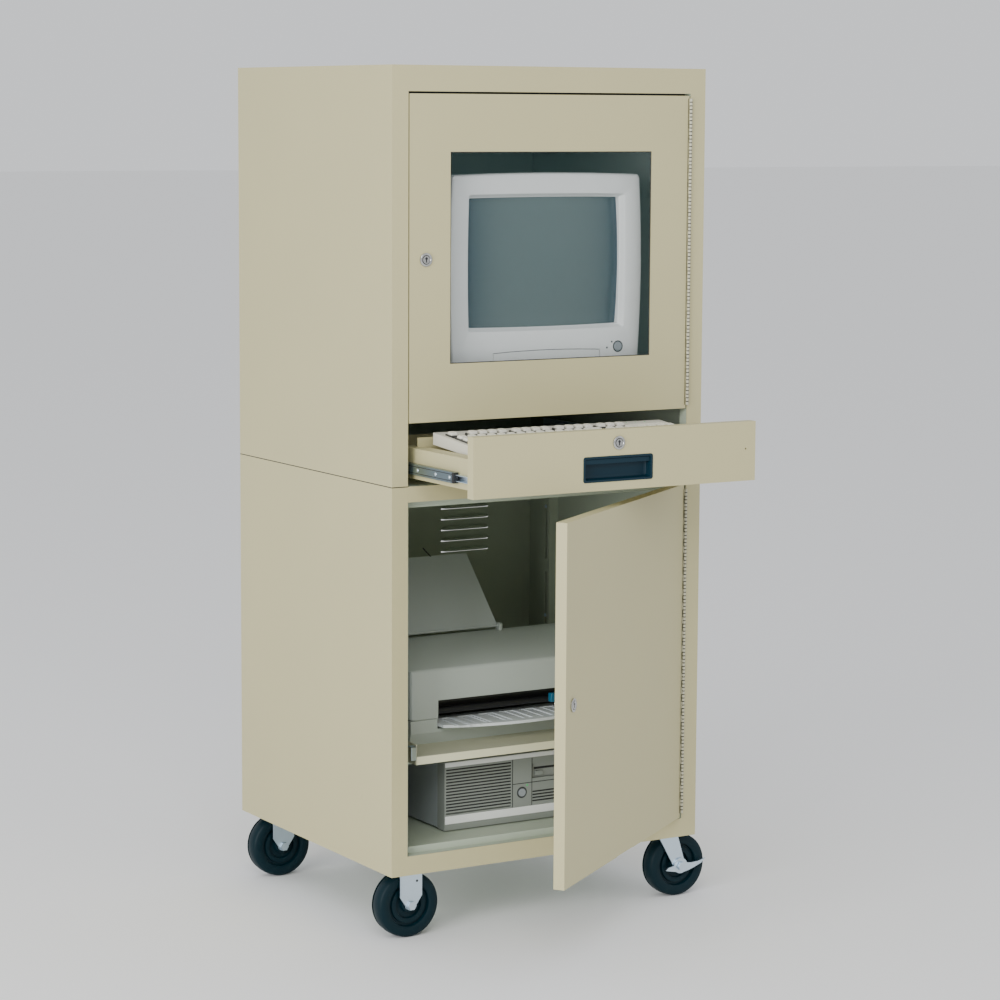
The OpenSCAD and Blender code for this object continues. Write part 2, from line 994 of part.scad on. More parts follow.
module monitor_cradle() {
    z0 = deck_z + base_t + 0.5;
    color(grey_white)
        at_body()
            difference() {
                union() {
                    translate([monitor_x, swivel_y, z0])
                        cylinder(r = 84, h = 8);
                    block([monitor_x - 60, swivel_y - 70, z0 + 7],
                          [monitor_x + 60, swivel_y + 70, monitor_z - 14]);
                }
                translate([monitor_x, swivel_y, z0 - over])
                    cylinder(r = 12.06, h = 5);
                bar_x(swivel_y, rocker_z, monitor_x - 80, monitor_x + 80, rocker_r + rocker_gap);
            }
}

module monitor_bezel() {
    x = monitor_x - monitor_w / 2;
    color(grey_white)
        at_body()
            difference() {
                round_plate(x, monitor_z, monitor_w, monitor_h, 14, monitor_y,
                            monitor_y + bezel_d);
                round_plate(monitor_x - screen_w / 2, screen_z, screen_w, screen_h, 10,
                            monitor_y - over, monitor_y + bezel_d + over);
                block([x + 6, monitor_y + 16, monitor_z + 6],
                      [x + monitor_w - 6, monitor_y + bezel_d + over, screen_z - 8]);
                bar_y(button_x, button_z, monitor_y - over, monitor_y + bezel_d, button_r + 0.3);
                block([monitor_x - flap_w / 2 - 0.4, monitor_y - over, monitor_z + 3],
                      [monitor_x + flap_w / 2 + 0.4, monitor_y + 8, monitor_z + 4.8 + flap_h]);
            }
}

// The picture tube: a domed face, a hollow funnel and its neck
module monitor_tube() {
    face_r = 1300;
    y0 = monitor_y + 10;
    zc = screen_z + screen_h / 2;
    color(glass_grey)
        at_body() {
            intersection() {
                round_plate(monitor_x - screen_w / 2 + 1, screen_z + 1, screen_w - 2,
                            screen_h - 2, 10, y0, y0 + 24);
                translate([monitor_x, y0 + face_r, zc])
                    sphere(r = face_r, $fn = 128);
            }
            difference() {
                union() {
                    hull() {
                        block([monitor_x - 148, y0 + 23, zc - 106],
                              [monitor_x + 148, y0 + 27, zc + 106]);
                        bar_y(monitor_x, zc, y0 + 230, y0 + 236, 18);
                    }
                    bar_y(monitor_x, zc, y0 + 230, y0 + 310, 15);
                }
                hull() {
                    block([monitor_x - 143, y0 + 22, zc - 101], [monitor_x + 143, y0 + 24, zc + 101]);
                    bar_y(monitor_x, zc, y0 + 230, y0 + 232, 12);
                }
                bar_y(monitor_x, zc, y0 + 229, y0 + 311, 12);
            }
        }
}

// Rounded block used for the monitor's back, grown inwards by a wall
module housing_form(grow) {
    x = monitor_x - monitor_w / 2 + 6 - grow;
    w = monitor_w - 12 + 2 * grow;
    hull() {
        round_plate(x, monitor_z + 4 - grow, w, monitor_h - 8 + 2 * grow, 12,
                    monitor_y + bezel_d + 0.1, monitor_y + bezel_d + 3);
        round_plate(x + 6, monitor_z + 4 - grow, w - 12, monitor_h - 14 + 2 * grow, 12,
                    monitor_y + bezel_d + 84, monitor_y + bezel_d + 86);
        round_plate(monitor_x - 120 - grow, monitor_z + 60 - grow, 240 + 2 * grow,
                    200 + 2 * grow, 16, 425, 430 + grow);
    }
}

module monitor_housing() {
    color(grey_white)
        at_body() {
            difference() {
                housing_form(0);
                difference() {
                    housing_form(-housing_wall);
                    block([0, 427, 0], [body_w, body_d, full_h]);
                }
                block([monitor_x - 150, monitor_y, screen_z + 4],
                      [monitor_x + 150, monitor_y + bezel_d + 8, screen_z + screen_h - 4]);
            }
            intersection() {
                bar_x(swivel_y, rocker_z, monitor_x - rocker_w / 2, monitor_x + rocker_w / 2,
                      rocker_r);
                block([0, 0, monitor_z - 40], [body_w, body_d, monitor_z + 5]);
            }
        }
}

module monitor_button() {
    color(grey_white)
        at_body()
            bar_y(button_x, button_z, monitor_y - 1.5, monitor_y + 12, button_r);
}

module monitor_flap() {
    z0 = monitor_z + 4.4;
    color(grey_white)
        at_body() {
            block([monitor_x - flap_w / 2, monitor_y + 0.5, z0],
                  [monitor_x + flap_w / 2, monitor_y + 0.5 + flap_t, z0 + flap_h]);
            bar_x(monitor_y + 2.5, z0 + 2, monitor_x - flap_w / 2, monitor_x + flap_w / 2, 2);
        }
}

// Children on the keyboard's sloping deck, from its front left corner
module on_deck() {
    translate([mid_x - keyboard_w / 2, keyboard_y, tray_z + keyboard_front_h])
        rotate([keyboard_slope, 0, 0])
            children();
}

module keyboard_case() {
    x0 = mid_x - keyboard_w / 2;
    color(ivory)
        at_body()
            at_drawer() {
                difference() {
                    translate([x0, 0, 0])
                        rotate([90, 0, 90])
                            linear_extrude(height = keyboard_w)
                                polygon([[keyboard_y, tray_z + 4],
                                         [keyboard_y, tray_z + keyboard_front_h],
                                         [keyboard_y + keyboard_d, tray_z + keyboard_back_h],
                                         [keyboard_y + keyboard_d, tray_z + 16]]);
                    on_deck()
                        translate([8, first_row_y - 3, -6])
                            cube([keyboard_w - 16, function_row_y + key_d + 6 - first_row_y, 10]);
                }
                for (x = [x0 + 30, x0 + keyboard_w - 50]) {
                    block([x, keyboard_y + 6, tray_z], [x + 20, keyboard_y + 14, tray_z + 6]);
                    block([x, keyboard_y + 140, tray_z], [x + 20, keyboard_y + 148, tray_z + 18]);
                }
            }
}

// Sum of the first n entries of a list
function total(list, n) = n <= 0 ? 0 : list[n - 1] + total(list, n - 1);

// One key cap at a place in key units along X and millimetres up the deck
module key(units, y, width) {
    translate([9 + units * key_unit, y, -2])
        cube([width * key_unit - key_gap, key_d, key_h]);
}

module keyboard_keys() {
    color(ivory)
        at_body()
            at_drawer()
                on_deck() {
                    for (r = [0 : len(key_rows) - 1])
                        for (k = [0 : len(key_rows[r]) - 1])
                            if (r > 0 || k != space_key)
                                key(total(key_rows[r], k), first_row_y + r * key_unit,
                                    key_rows[r][k]);
                    for (u = [0, 2, 3, 4, 5, 6.5, 7.5, 8.5, 9.5, 11, 12, 13, 14])
                        key(u, function_row_y, 1);
                    for (u = [0, 1, 2])
                        for (y = [0, 3 * key_unit, 4 * key_unit, function_row_y - first_row_y])
                            key(nav_at + u, first_row_y + y, 1);
                    key(nav_at + 1, first_row_y + key_unit, 1);
                    for (u = [0, 1, 2, 3])
                        for (r = [0 : 4])
                            key(pad_at + u, first_row_y + r * key_unit, 1);
                }
}

module space_bar() {
    color(ivory)
        at_body()
            at_drawer()
                on_deck()
                    key(total(key_rows[0], space_key), first_row_y, key_rows[0][space_key]);
}

module printer_base() {
    x1 = printer_x + printer_w;
    color(ivory)
        at_body()
            difference() {
                translate([printer_x, 0, 0])
                    rotate([90, 0, 90])
                        linear_extrude(height = printer_w)
                            polygon([[printer_y + 6, shelf_z], [printer_y, shelf_z + 20],
                                     [printer_y, shelf_z + seam_h - 0.2],
                                     [printer_y + printer_d, shelf_z + seam_h - 0.2],
                                     [printer_y + printer_d, shelf_z]]);
                block([printer_x + wall, printer_y + wall + 4, shelf_z + wall],
                      [x1 - wall, printer_y + printer_d - wall, shelf_z + seam_h + over]);
                block([printer_x + slot_x - 2, printer_y - over, shelf_z + seam_h - 18],
                      [printer_x + slot_x + slot_len + 2, printer_y + 20, shelf_z + seam_h + over]);
            }
}

// Side outline of the printer's upper housing, set in by a wall
module printer_outline(in) {
    y0 = printer_y + in;
    y1 = printer_y + printer_d - in;
    polygon([[y0, shelf_z + seam_h - (in > 0 ? over : 0)], [y0, shelf_z + front_top_h - in],
             [printer_y + 146, shelf_z + 161 - in], [y1, shelf_z + back_top_h - 30 - in],
             [y1, shelf_z + seam_h - (in > 0 ? over : 0)]]);
}

module printer_cover() {
    x1 = printer_x + printer_w;
    sx = printer_x + support_x;
    color(ivory)
        at_body() {
            difference() {
                translate([printer_x, 0, 0])
                    rotate([90, 0, 90])
                        linear_extrude(height = printer_w)
                            printer_outline(0);
                translate([printer_x + wall, 0, 0])
                    rotate([90, 0, 90])
                        linear_extrude(height = printer_w - 2 * wall)
                            printer_outline(wall);
                block([printer_x + slot_x, printer_y - over, shelf_z + seam_h - over],
                      [printer_x + slot_x + slot_len, printer_y + wall + over,
                       shelf_z + slot_top_h]);
            }
            difference() {
                for (x = [sx - support_ear - 1, sx + support_w + 1])
                    block([x, support_y - 8, support_z - 12], [x + support_ear, support_y + 6,
                          support_z + 5]);
                bar_x(support_y, support_z, printer_x, x1, support_bore_r);
            }
        }
}

module printer_tray() {
    cx = printer_x + slot_x + slot_len / 2;
    curve_r = 420;
    z0 = shelf_z + seam_h - 14;
    color(grey_white)
        at_body()
            difference() {
                translate([0, 0, z0])
                    linear_extrude(height = tray_t)
                        intersection() {
                            translate([cx, printer_y - tray_front + curve_r])
                                circle(r = curve_r, $fn = 128);
                            translate([cx - slot_len / 2 + 1, printer_y - tray_front])
                                square([slot_len - 2, tray_front + 60]);
                        }
                for (i = [-3 : 3])
                    block([cx + i * 42 - 15, printer_y - 30, z0 + tray_t - 1.5],
                          [cx + i * 42 + 15, printer_y + 40, z0 + tray_t + over]);
            }
}

module paper_support() {
    sx = printer_x + support_x;
    color(ivory)
        at_body() {
            translate([sx + support_w / 2, support_y, support_z])
                rotate([-support_lean, 0, 0])
                    translate([0, support_t / 2, 0])
                        rotate([90, 0, 0])
                            linear_extrude(height = support_t)
                                polygon([[-support_w / 2, 0], [support_w / 2, 0],
                                         [support_top_w / 2, support_l],
                                         [-support_top_w / 2, support_l]]);
            bar_x(support_y, support_z, sx - support_ear, sx + support_w + support_ear,
                  support_pin_r);
        }
}

module pc_case() {
    y0 = pc_y + pc_bezel_d;
    z0 = pc_z + pc_foot_h;
    x1 = pc_x + pc_w;
    color(pc_grey)
        at_body() {
            difference() {
                block([pc_x, y0 + 0.2, z0], [x1, pc_y + pc_d, pc_z + pc_h]);
                block([pc_x + 1.2, y0 - over, z0 + 1.2],
                      [x1 - 1.2, pc_y + pc_d - 1.2, pc_z + pc_h - 1.2]);
                for (i = [0 : 6])
                    block([x1 - 180 + i * 12, pc_y + pc_d - 3, z0 + 30],
                          [x1 - 174 + i * 12, pc_y + pc_d + over, z0 + 90]);
            }
            for (x = [pc_x + 30, x1 - 30], y = [y0 + 30, pc_y + pc_d - 40])
                translate([x, y, pc_z])
                    cylinder(r = 9, h = pc_foot_h + 0.5);
        }
}

module pc_bezel() {
    z0 = pc_z + pc_foot_h;
    x1 = pc_x + pc_w;
    slat = (vent_z1 - vent_z0) / vent_slats;
    right_x = pc_x + vent_w + column_w;
    color(pc_grey)
        at_body()
            difference() {
                block([pc_x, pc_y, z0 - 2], [x1, pc_y + pc_bezel_d, pc_z + pc_h + 1]);
                block([pc_x + 2, pc_y + 8, z0], [x1 - 2, pc_y + pc_bezel_d + over, pc_z + pc_h - 1]);
                for (i = [0 : vent_slats - 1])
                    block([pc_x + 3, pc_y - over, pc_z + vent_z0 + i * slat],
                          [pc_x + vent_w - 2, pc_y + 5, pc_z + vent_z0 + (i + 0.5) * slat]);
                for (i = [0 : 3])
                    block([right_x + 2, pc_y - over, pc_z + 34 + i * slat],
                          [x1 - 8, pc_y + 5, pc_z + 34 + (i + 0.5) * slat]);
                block([pc_x + drive_x, pc_y - over, pc_z + drive_z],
                      [pc_x + drive_x + drive_w + 1, pc_y + 9, pc_z + drive_z + drive_h + 1]);
                bar_y(pc_x + power_x, pc_z + power_z, pc_y - over, pc_y + 9, power_r + 0.3);
            }
}

module pc_power_button() {
    color([0.62, 0.66, 0.70])
        at_body()
            bar_y(pc_x + power_x, pc_z + power_z, pc_y - 1.5, pc_y + 10, power_r);
}

module pc_floppy() {
    x0 = pc_x + drive_x + 0.5;
    z0 = pc_z + drive_z + 0.5;
    color([0.62, 0.64, 0.62])
        at_body()
            difference() {
                block([x0, pc_y + 5, z0], [x0 + drive_w, pc_y + 150, z0 + drive_h]);
                block([x0 + 6, pc_y, z0 + 14], [x0 + drive_w - 6, pc_y + 95, z0 + 18]);
                block([x0 + 7.5, pc_y, z0 + 3.5], [x0 + 22.5, pc_y + 15, z0 + 11.5]);
            }
}

module floppy_button() {
    x0 = pc_x + drive_x + 8.3;
    z0 = pc_z + drive_z + 4.3;
    color(pc_grey)
        at_body()
            block([x0, pc_y + 1, z0], [x0 + 14.4, pc_y + 11, z0 + 7.4]);
}

module pc_board() {
    z0 = pc_z + pc_foot_h + 8;
    color(board_green)
        at_body() {
            block([pc_x + 12, pc_y + 170, z0], [pc_x + 250, pc_y + pc_d - 8, z0 + 2]);
            block([pc_x + 60, pc_y + 230, z0 + 2], [pc_x + 110, pc_y + 280, z0 + 30]);
            for (i = [0 : 3])
                block([pc_x + 140 + i * 20, pc_y + 290, z0 + 2],
                      [pc_x + 148 + i * 20, pc_y + 380, z0 + 14]);
        }
}

module pc_power_supply() {
    x0 = pc_x + pc_w - 165;
    x1 = pc_x + pc_w - 4;
    y0 = pc_y + 270;
    y1 = pc_y + pc_d - 2;
    z0 = pc_z + pc_foot_h + 1.4;
    color(zinc)
        at_body()
            difference() {
                block([x0, y0, z0], [x1, y1, z0 + 86]);
                block([x0 + 1, y0 + 1, z0 + 1], [x1 - 1, y1 - 1, z0 + 85]);
                for (i = [0 : 6])
                    block([x0 + 20 + i * 12, y0 - over, z0 + 20],
                          [x0 + 26 + i * 12, y0 + over, z0 + 66]);
            }
}

upper_shell();
upper_back();
monitor_deck();
lower_shell();
lower_back();
shelf_supports();
printer_shelf();
upper_door();
window_pane();
lower_door();
hinge_fixed_leaves();
upper_hinge_leaf();
lower_hinge_leaf();
hinge_pins();
upper_lock_body();
upper_lock_plug();
lower_lock_body();
lower_lock_plug();
drawer_lock_body();
drawer_lock_plug();
drawer_box();
drawer_front();
drawer_pull();
runner_outer();
runner_middle();
runner_inner();
rigid_forks();
rigid_axles();
swivel_plates();
swivel_fork_front();
swivel_fork_rear();
swivel_axle_front();
swivel_axle_rear();
brake_front();
brake_rear();
wheel(caster_l, caster_inset);  // wheel_front_left
wheel(caster_l, body_d - caster_inset);  // wheel_rear_left
wheel(caster_r + trail, caster_inset);  // wheel_front_right
wheel(caster_r + trail, body_d - caster_inset);  // wheel_rear_right
monitor_base();
monitor_cradle();
monitor_bezel();
monitor_tube();
monitor_housing();
monitor_button();
monitor_flap();
keyboard_case();
keyboard_keys();
space_bar();
printer_base();
printer_cover();
printer_tray();
paper_support();
pc_case();
pc_bezel();
pc_power_button();
pc_floppy();
floppy_button();
pc_board();
pc_power_supply();
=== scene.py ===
# %% [markdown]
# # Computer workstation cabinet
#
# The engineering model is loaded first, as a fixed frame. Everything added here is placed from its
# boxes and meshes, gets a procedural material, and rides on one of its bodies. Lengths are metres;
# `mm` turns millimetres into metres.

# %% Load the frame and keep its box
import json
import math

import bmesh
import bpy
from mathutils import Matrix, Vector

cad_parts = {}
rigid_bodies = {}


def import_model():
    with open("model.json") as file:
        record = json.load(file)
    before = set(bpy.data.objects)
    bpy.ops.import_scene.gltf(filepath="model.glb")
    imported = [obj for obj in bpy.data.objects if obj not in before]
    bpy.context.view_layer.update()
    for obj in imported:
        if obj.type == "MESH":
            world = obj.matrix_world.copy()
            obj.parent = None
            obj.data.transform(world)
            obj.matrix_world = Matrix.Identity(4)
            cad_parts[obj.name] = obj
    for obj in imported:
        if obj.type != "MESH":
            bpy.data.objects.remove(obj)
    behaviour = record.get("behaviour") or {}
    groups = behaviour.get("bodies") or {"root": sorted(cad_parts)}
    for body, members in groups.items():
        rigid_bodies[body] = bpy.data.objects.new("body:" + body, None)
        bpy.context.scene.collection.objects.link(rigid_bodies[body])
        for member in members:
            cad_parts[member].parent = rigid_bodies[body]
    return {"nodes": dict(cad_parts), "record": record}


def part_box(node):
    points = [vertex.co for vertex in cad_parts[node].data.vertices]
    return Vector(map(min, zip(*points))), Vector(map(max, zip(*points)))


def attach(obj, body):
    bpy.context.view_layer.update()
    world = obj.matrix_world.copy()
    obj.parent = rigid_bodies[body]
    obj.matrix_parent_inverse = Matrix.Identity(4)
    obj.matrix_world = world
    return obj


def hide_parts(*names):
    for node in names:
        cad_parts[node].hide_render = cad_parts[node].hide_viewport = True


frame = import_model()
nodes = frame["nodes"]
scene = bpy.context.scene
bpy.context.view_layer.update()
mm = 0.001

# The pieces below are placed from the cabinet's lower front left corner. The hinge pins stand
# hinge_x millimetres from its left side.
corner = Vector(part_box("lower_shell")[0])
width_mm = 622.3
hinge_x = width_mm - 30.5 - 1.45
wall_lo, wall_hi = corner, Vector(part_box("upper_shell")[1])
deck_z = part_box("monitor_deck")[0].z


def cab(x, y, z):
    """A point given in millimetres from the cabinet's lower front left corner."""
    return corner + Vector((x, y, z)) * mm


def off(base, x, y, z):
    """A point given in millimetres from another."""
    return base.x + x * mm, base.y + y * mm, base.z + z * mm


def centre(node):
    lo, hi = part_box(node)
    return (Vector(lo) + Vector(hi)) / 2


def size(node):
    lo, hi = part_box(node)
    return Vector(hi) - Vector(lo)


# %% [markdown]
# ## Materials
#
# `Sock` wraps one output socket so that shader maths reads as ordinary expressions. `Shader` holds
# a material's tree, and its `add` method makes any node other than maths. All textures use object
# coordinates, so they stay on the steel when a door swings.

# %% Socket wrapper and shader builder


class Sock:
    """One output socket of a shader tree, with arithmetic."""

    def __init__(self, shader, out):
        self.shader = shader
        self.out = out

    def _math(self, operation, a, b):
        node = self.shader.tree.nodes.new("ShaderNodeMath")
        node.operation = operation
        for socket, value in zip(node.inputs, (a, b)):
            self.shader.feed(socket, value)
        return Sock(self.shader, node.outputs[0])

    def __add__(self, other):
        return self._math("ADD", self, other)

    def __radd__(self, other):
        return self._math("ADD", other, self)

    def __sub__(self, other):
        return self._math("SUBTRACT", self, other)

    def __rsub__(self, other):
        return self._math("SUBTRACT", other, self)

    def __mul__(self, other):
        return self._math("MULTIPLY", self, other)

    def __pow__(self, other):
        return self._math("POWER", self, other)

    def above(self, limit):
        return self._math("GREATER_THAN", self, limit)

    def least(self, limit):
        return self._math("MAXIMUM", self, limit)

    def most(self, limit):
        return self._math("MINIMUM", self, limit)


class Shader:
    """One material with its Principled shader."""

    def __init__(self, name):
        self.material = bpy.data.materials.new(name)
        self.material.use_nodes = True
        self.tree = self.material.node_tree
        self.bsdf = self.tree.nodes["Principled BSDF"]
        self.place = self.add("ShaderNodeTexCoord", "Object")

    def feed(self, socket, value):
        if isinstance(value, Sock):
            self.tree.links.new(value.out, socket)
        else:
            socket.default_value = value

    def add(self, kind, output, settings=None, **inputs):
        node = self.tree.nodes.new(kind)
        for key, value in (settings or {}).items():
            setattr(node, key, value)
        for key, value in inputs.items():
            self.feed(node.inputs[key.replace("_", " ")], value)
        return Sock(self, node.outputs[output])

    def noise(self, scale, detail=2.0, rough=0.5):
        return self.add("ShaderNodeTexNoise", 0, Vector=self.place, Scale=scale, Detail=detail,
                        Roughness=rough)

    def mix(self, factor, a, b):
        node = self.tree.nodes.new("ShaderNodeMix")
        node.data_type = "RGBA"
        for index, value in ((0, factor), (6, a), (7, b)):
            self.feed(node.inputs[index], value)
        return Sock(self, node.outputs[2])

    def put(self, **inputs):
        for key, value in inputs.items():
            self.feed(self.bsdf.inputs[key.replace("_", " ")], value)

    def bump(self, height, strength, distance):
        self.put(Normal=self.add("ShaderNodeBump", "Normal", Height=height, Strength=strength,
                                 Distance=distance))


def rgba(colour, gain=1.0):
    return tuple(min(1.0, c * gain) for c in colour) + (1.0,)


def surface(name, colour, rough, grain=400.0, depth=0.15, mottle=0.05, metallic=0.0, coat=0.0,
            brushed=False, spec=0.5, inner=None, upper=None):
    """Paint, plastic, rubber or metal: mottled colour, uneven gloss and a fine grain.

    The inside colour, when given, is painted shade: the faces inside the cabinet's walls take that
    duller colour. The upper colour, when given, paints the faces of the monitor's compartment a
    cooler shade, tinted like the view through its window."""
    s = Shader(name)
    cloud = s.noise(7.0, 4.0)
    fine = s.noise(grain, 3.0, 0.6)
    if brushed:
        streak = s.add("ShaderNodeMapping", 0, Vector=s.place, Scale=(900.0, 12.0, 900.0))
        fine = s.add("ShaderNodeTexNoise", 0, Vector=streak, Scale=1.0, Detail=2.0)
    tone = (cloud - 0.5) * 2.0 * mottle + (fine - 0.5) * mottle
    shade = s.mix((tone + 0.5).least(0.0).most(1.0), rgba(colour, 0.86), rgba(colour, 1.14))
    # Painted shade: faces more than a skin's depth inside the walls take the inside colour, and
    # those of the monitor's compartment take the window-tinted upper colour.
    if inner:
        x, y, z = (s.add("ShaderNodeSeparateXYZ", axis, Vector=s.place) for axis in "XYZ")
        skin = 1.1 * mm
        inside = (x.above(wall_lo.x + skin) * (wall_hi.x - skin - x).above(0.0)
                  * y.above(wall_lo.y + skin) * (wall_hi.y - skin - y).above(0.0)
                  * (wall_hi.z - skin - z).above(0.0))
        shade = s.mix(inside, shade, rgba(inner))
        if upper:
            shade = s.mix(inside * y.above(wall_lo.y + 0.04) * z.above(deck_z), shade, rgba(upper))
    s.put(Base_Color=shade)
    s.put(Roughness=(rough + (cloud - 0.5) * 0.12 + (fine - 0.5) * 0.10).least(0.02).most(1.0))
    s.put(Metallic=metallic, Coat_Weight=coat, Specular_IOR_Level=spec)
    if depth:
        s.bump(fine, depth, 0.0004)
    return s.material


def lamp(name, colour, strength):
    s = Shader(name)
    s.put(Base_Color=rgba(colour), Roughness=0.3, Emission_Color=rgba(colour),
          Emission_Strength=strength)
    return s.material


def clear(name, colour, alpha):
    """Clear sheet: a faint tint with sharp reflections, and a little dust."""
    s = Shader(name)
    dust = s.noise(30.0, 4.0)
    s.put(Base_Color=rgba(colour), Roughness=0.02 + dust * 0.06, Alpha=alpha + (dust - 0.5) * 0.03)
    s.put(Specular_IOR_Level=0.08)
    return s.material


def screen(name, colour):
    """Switched-off picture tube: grey phosphor under glass, with painted shade that makes it bluer
    and darker towards its sides.
    """
    s = Shader(name)
    lo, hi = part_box("monitor_tube")
    across = s.add("ShaderNodeSeparateXYZ", "X", Vector=s.place)
    across = (across - (lo.x + hi.x) / 2) * (2 / (hi.x - lo.x))
    # Painted shade: the colour darkens and turns bluer towards the sides of the face.
    edge = (across * across) ** 2.4
    side_shade = (0.035, 0.062, 0.085, 1.0)
    s.put(Base_Color=s.mix(edge.most(1.0), rgba(colour), side_shade), Roughness=0.16)
    s.put(Coat_Weight=0.25, Coat_Roughness=0.05, Specular_IOR_Level=0.3)
    return s.material


PUTTY = (0.505, 0.462, 0.254)
# Painted shade for the faces inside the cabinet.
PAINTED_INSIDE_SHADE = (0.44, 0.50, 0.40)


def coat_of_paint(name, **inside):
    return surface(name, PUTTY, 0.52, grain=900.0, depth=0.22, mottle=0.10, **inside)


M = {
    "putty": coat_of_paint("putty powder coat"),
    # The same putty with painted shade inside the cabinet, and with painted window-tinted shade in
    # the monitor's compartment.
    "lined": coat_of_paint("putty with painted inside shade", inner=PAINTED_INSIDE_SHADE),
    "lined_up": coat_of_paint("putty with painted inside shade and window tint", inner=PAINTED_INSIDE_SHADE, upper=(0.56, 0.65, 0.61)),
    "cream": surface("cream paint", (0.47, 0.47, 0.34), 0.45, depth=0.08),
    # A lighter copy of the shelf's cream, painted light on its front lip.
    "lip": surface("cream paint with painted light", (0.74, 0.73, 0.50), 0.42, depth=0.05),
    "hinge": surface("painted hinge steel", (0.52, 0.50, 0.37), 0.42, depth=0.05),
    "zinc": surface("zinc plating", (0.60, 0.71, 0.80), 0.33, metallic=1.0, depth=0.05,
                    mottle=0.25),
    "slide": surface("slide steel", (0.20, 0.26, 0.30), 0.34, metallic=1.0, depth=0.06,
                     brushed=True),
    "chrome": surface("lock chrome", (0.50, 0.50, 0.48), 0.22, metallic=1.0, depth=0.0,
                      mottle=0.06),
    "rubber": surface("hard rubber", (0.001, 0.013, 0.019), 0.46, grain=700.0, depth=0.12,
                      mottle=0.4, spec=0.17),
    "blue": surface("pull plastic", (0.002, 0.019, 0.032), 0.46, depth=0.10, mottle=0.2, spec=0.25),
    "pane": clear("window sheet", (0.06, 0.12, 0.12), 0.09),
    "gasket": surface("gasket rubber", (0.03, 0.03, 0.028), 0.6, mottle=0.2),
    "screen": screen("picture tube glass", (0.102, 0.138, 0.140)),
    "monitor": surface("monitor plastic", (0.77, 0.79, 0.78), 0.42, grain=1100.0, depth=0.10),
    "ivory": surface("keyboard plastic", (0.70, 0.68, 0.58), 0.45, grain=1100.0, depth=0.08),
    "key_gap_shade": surface("key well shade", (0.05, 0.05, 0.045), 0.6),
    "shade": surface("seam shade", (0.045, 0.05, 0.052), 0.5),
    "printer": surface("printer plastic", (0.45, 0.50, 0.46), 0.46, grain=1000.0, depth=0.12),
    "tray": surface("tray plastic", (0.72, 0.77, 0.78), 0.34, depth=0.05),
    "support": surface("paper support plastic", (0.44, 0.49, 0.47), 0.42, depth=0.06),
    "case": surface("computer case paint", (0.36, 0.40, 0.41), 0.48, depth=0.12),
    "bezel": surface("computer bezel plastic", (0.25, 0.275, 0.25), 0.45, depth=0.08),
    "pale": surface("pale trim plastic", (0.84, 0.86, 0.84), 0.40, depth=0.04),
    "button": surface("button plastic", (0.30, 0.33, 0.35), 0.34, depth=0.04),
    "drive": surface("drive plastic", (0.26, 0.28, 0.26), 0.45, depth=0.05),
    "board": surface("circuit board", (0.02, 0.11, 0.05), 0.35, depth=0.03, mottle=0.3),
    # Dark plastic for the truly dark parts, and painted shade for the strips, bands and plates set
    # in gaps and recesses.
    "dark": surface("dark plastic and painted shade", (0.010, 0.011, 0.012), 0.5, mottle=0.2),
    "cyan": surface("lever plastic", (0.02, 0.13, 0.22), 0.35),
    "green": lamp("green lamp", (0.05, 0.45, 0.12), 0.3),
    "floor": surface("studio floor", (0.94, 0.94, 0.94), 0.85, depth=0.0, mottle=0.01, spec=0.1),
}
print("materials", len(M))

# %% [markdown]
# ## Paint the engineering model
#
# Every node that stays in view gets its material, and the folded steel and moulded nodes get a
# small bevel so that their edges catch the light.

# %% Materials and bevels on the nodes
NODE_MATERIAL = {
    "putty": ["upper_door", "lower_door", "drawer_box", "drawer_front"],
    "lined_up": ["upper_shell", "upper_back", "monitor_deck"],
    "lined": ["lower_shell", "lower_back", "shelf_supports"],
    "cream": ["printer_shelf"],
    "pane": ["window_pane"],
    "hinge": ["hinge_fixed_leaves", "upper_hinge_leaf", "lower_hinge_leaf"],
    # The steel hinge pins take dark plastic as painted shade in the gaps between the knuckles.
    "dark": ["hinge_pins"],
    "zinc": ["rigid_forks", "rigid_axles", "swivel_plates", "swivel_fork_front",
             "swivel_fork_rear", "swivel_axle_front", "swivel_axle_rear", "brake_front",
             "brake_rear", "runner_outer", "runner_inner", "pc_power_supply"],
    "slide": ["runner_middle"],
    "chrome": ["upper_lock_body", "upper_lock_plug", "lower_lock_body", "lower_lock_plug",
               "drawer_lock_body", "drawer_lock_plug"],
    "blue": ["drawer_pull"],
    "rubber": ["wheel_front_left", "wheel_rear_left", "wheel_front_right", "wheel_rear_right"],
    "monitor": ["monitor_base", "monitor_cradle", "monitor_bezel", "monitor_housing",
                "monitor_flap"],
    "screen": ["monitor_tube"],
    "button": ["monitor_button", "pc_power_button"],
    "ivory": ["keyboard_case", "keyboard_keys", "space_bar"],
    "printer": ["printer_base", "printer_cover"],
    "tray": ["printer_tray"],
    "support": ["paper_support"],
    "case": ["pc_case"],
    "bezel": ["pc_bezel", "floppy_button"],
    "drive": ["pc_floppy"],
    "board": ["pc_board"],
}
BEVEL_MM = {
    "upper_shell": 0.9, "lower_shell": 0.9, "upper_door": 1.0, "lower_door": 1.0,
    "drawer_front": 1.0, "drawer_box": 0.5, "printer_shelf": 0.6, "rigid_forks": 0.7,
    "swivel_fork_front": 0.7, "swivel_fork_rear": 0.7, "brake_front": 0.5, "brake_rear": 0.5,
    "upper_lock_body": 0.7, "lower_lock_body": 0.7, "drawer_lock_body": 0.7,
    "monitor_base": 2.0, "monitor_button": 0.8, "pc_bezel": 0.5, "pc_power_button": 0.8,
    "pc_case": 0.8, "printer_base": 1.5, "printer_tray": 0.6, "paper_support": 0.8,
    "keyboard_case": 1.5, "monitor_flap": 0.5,
}


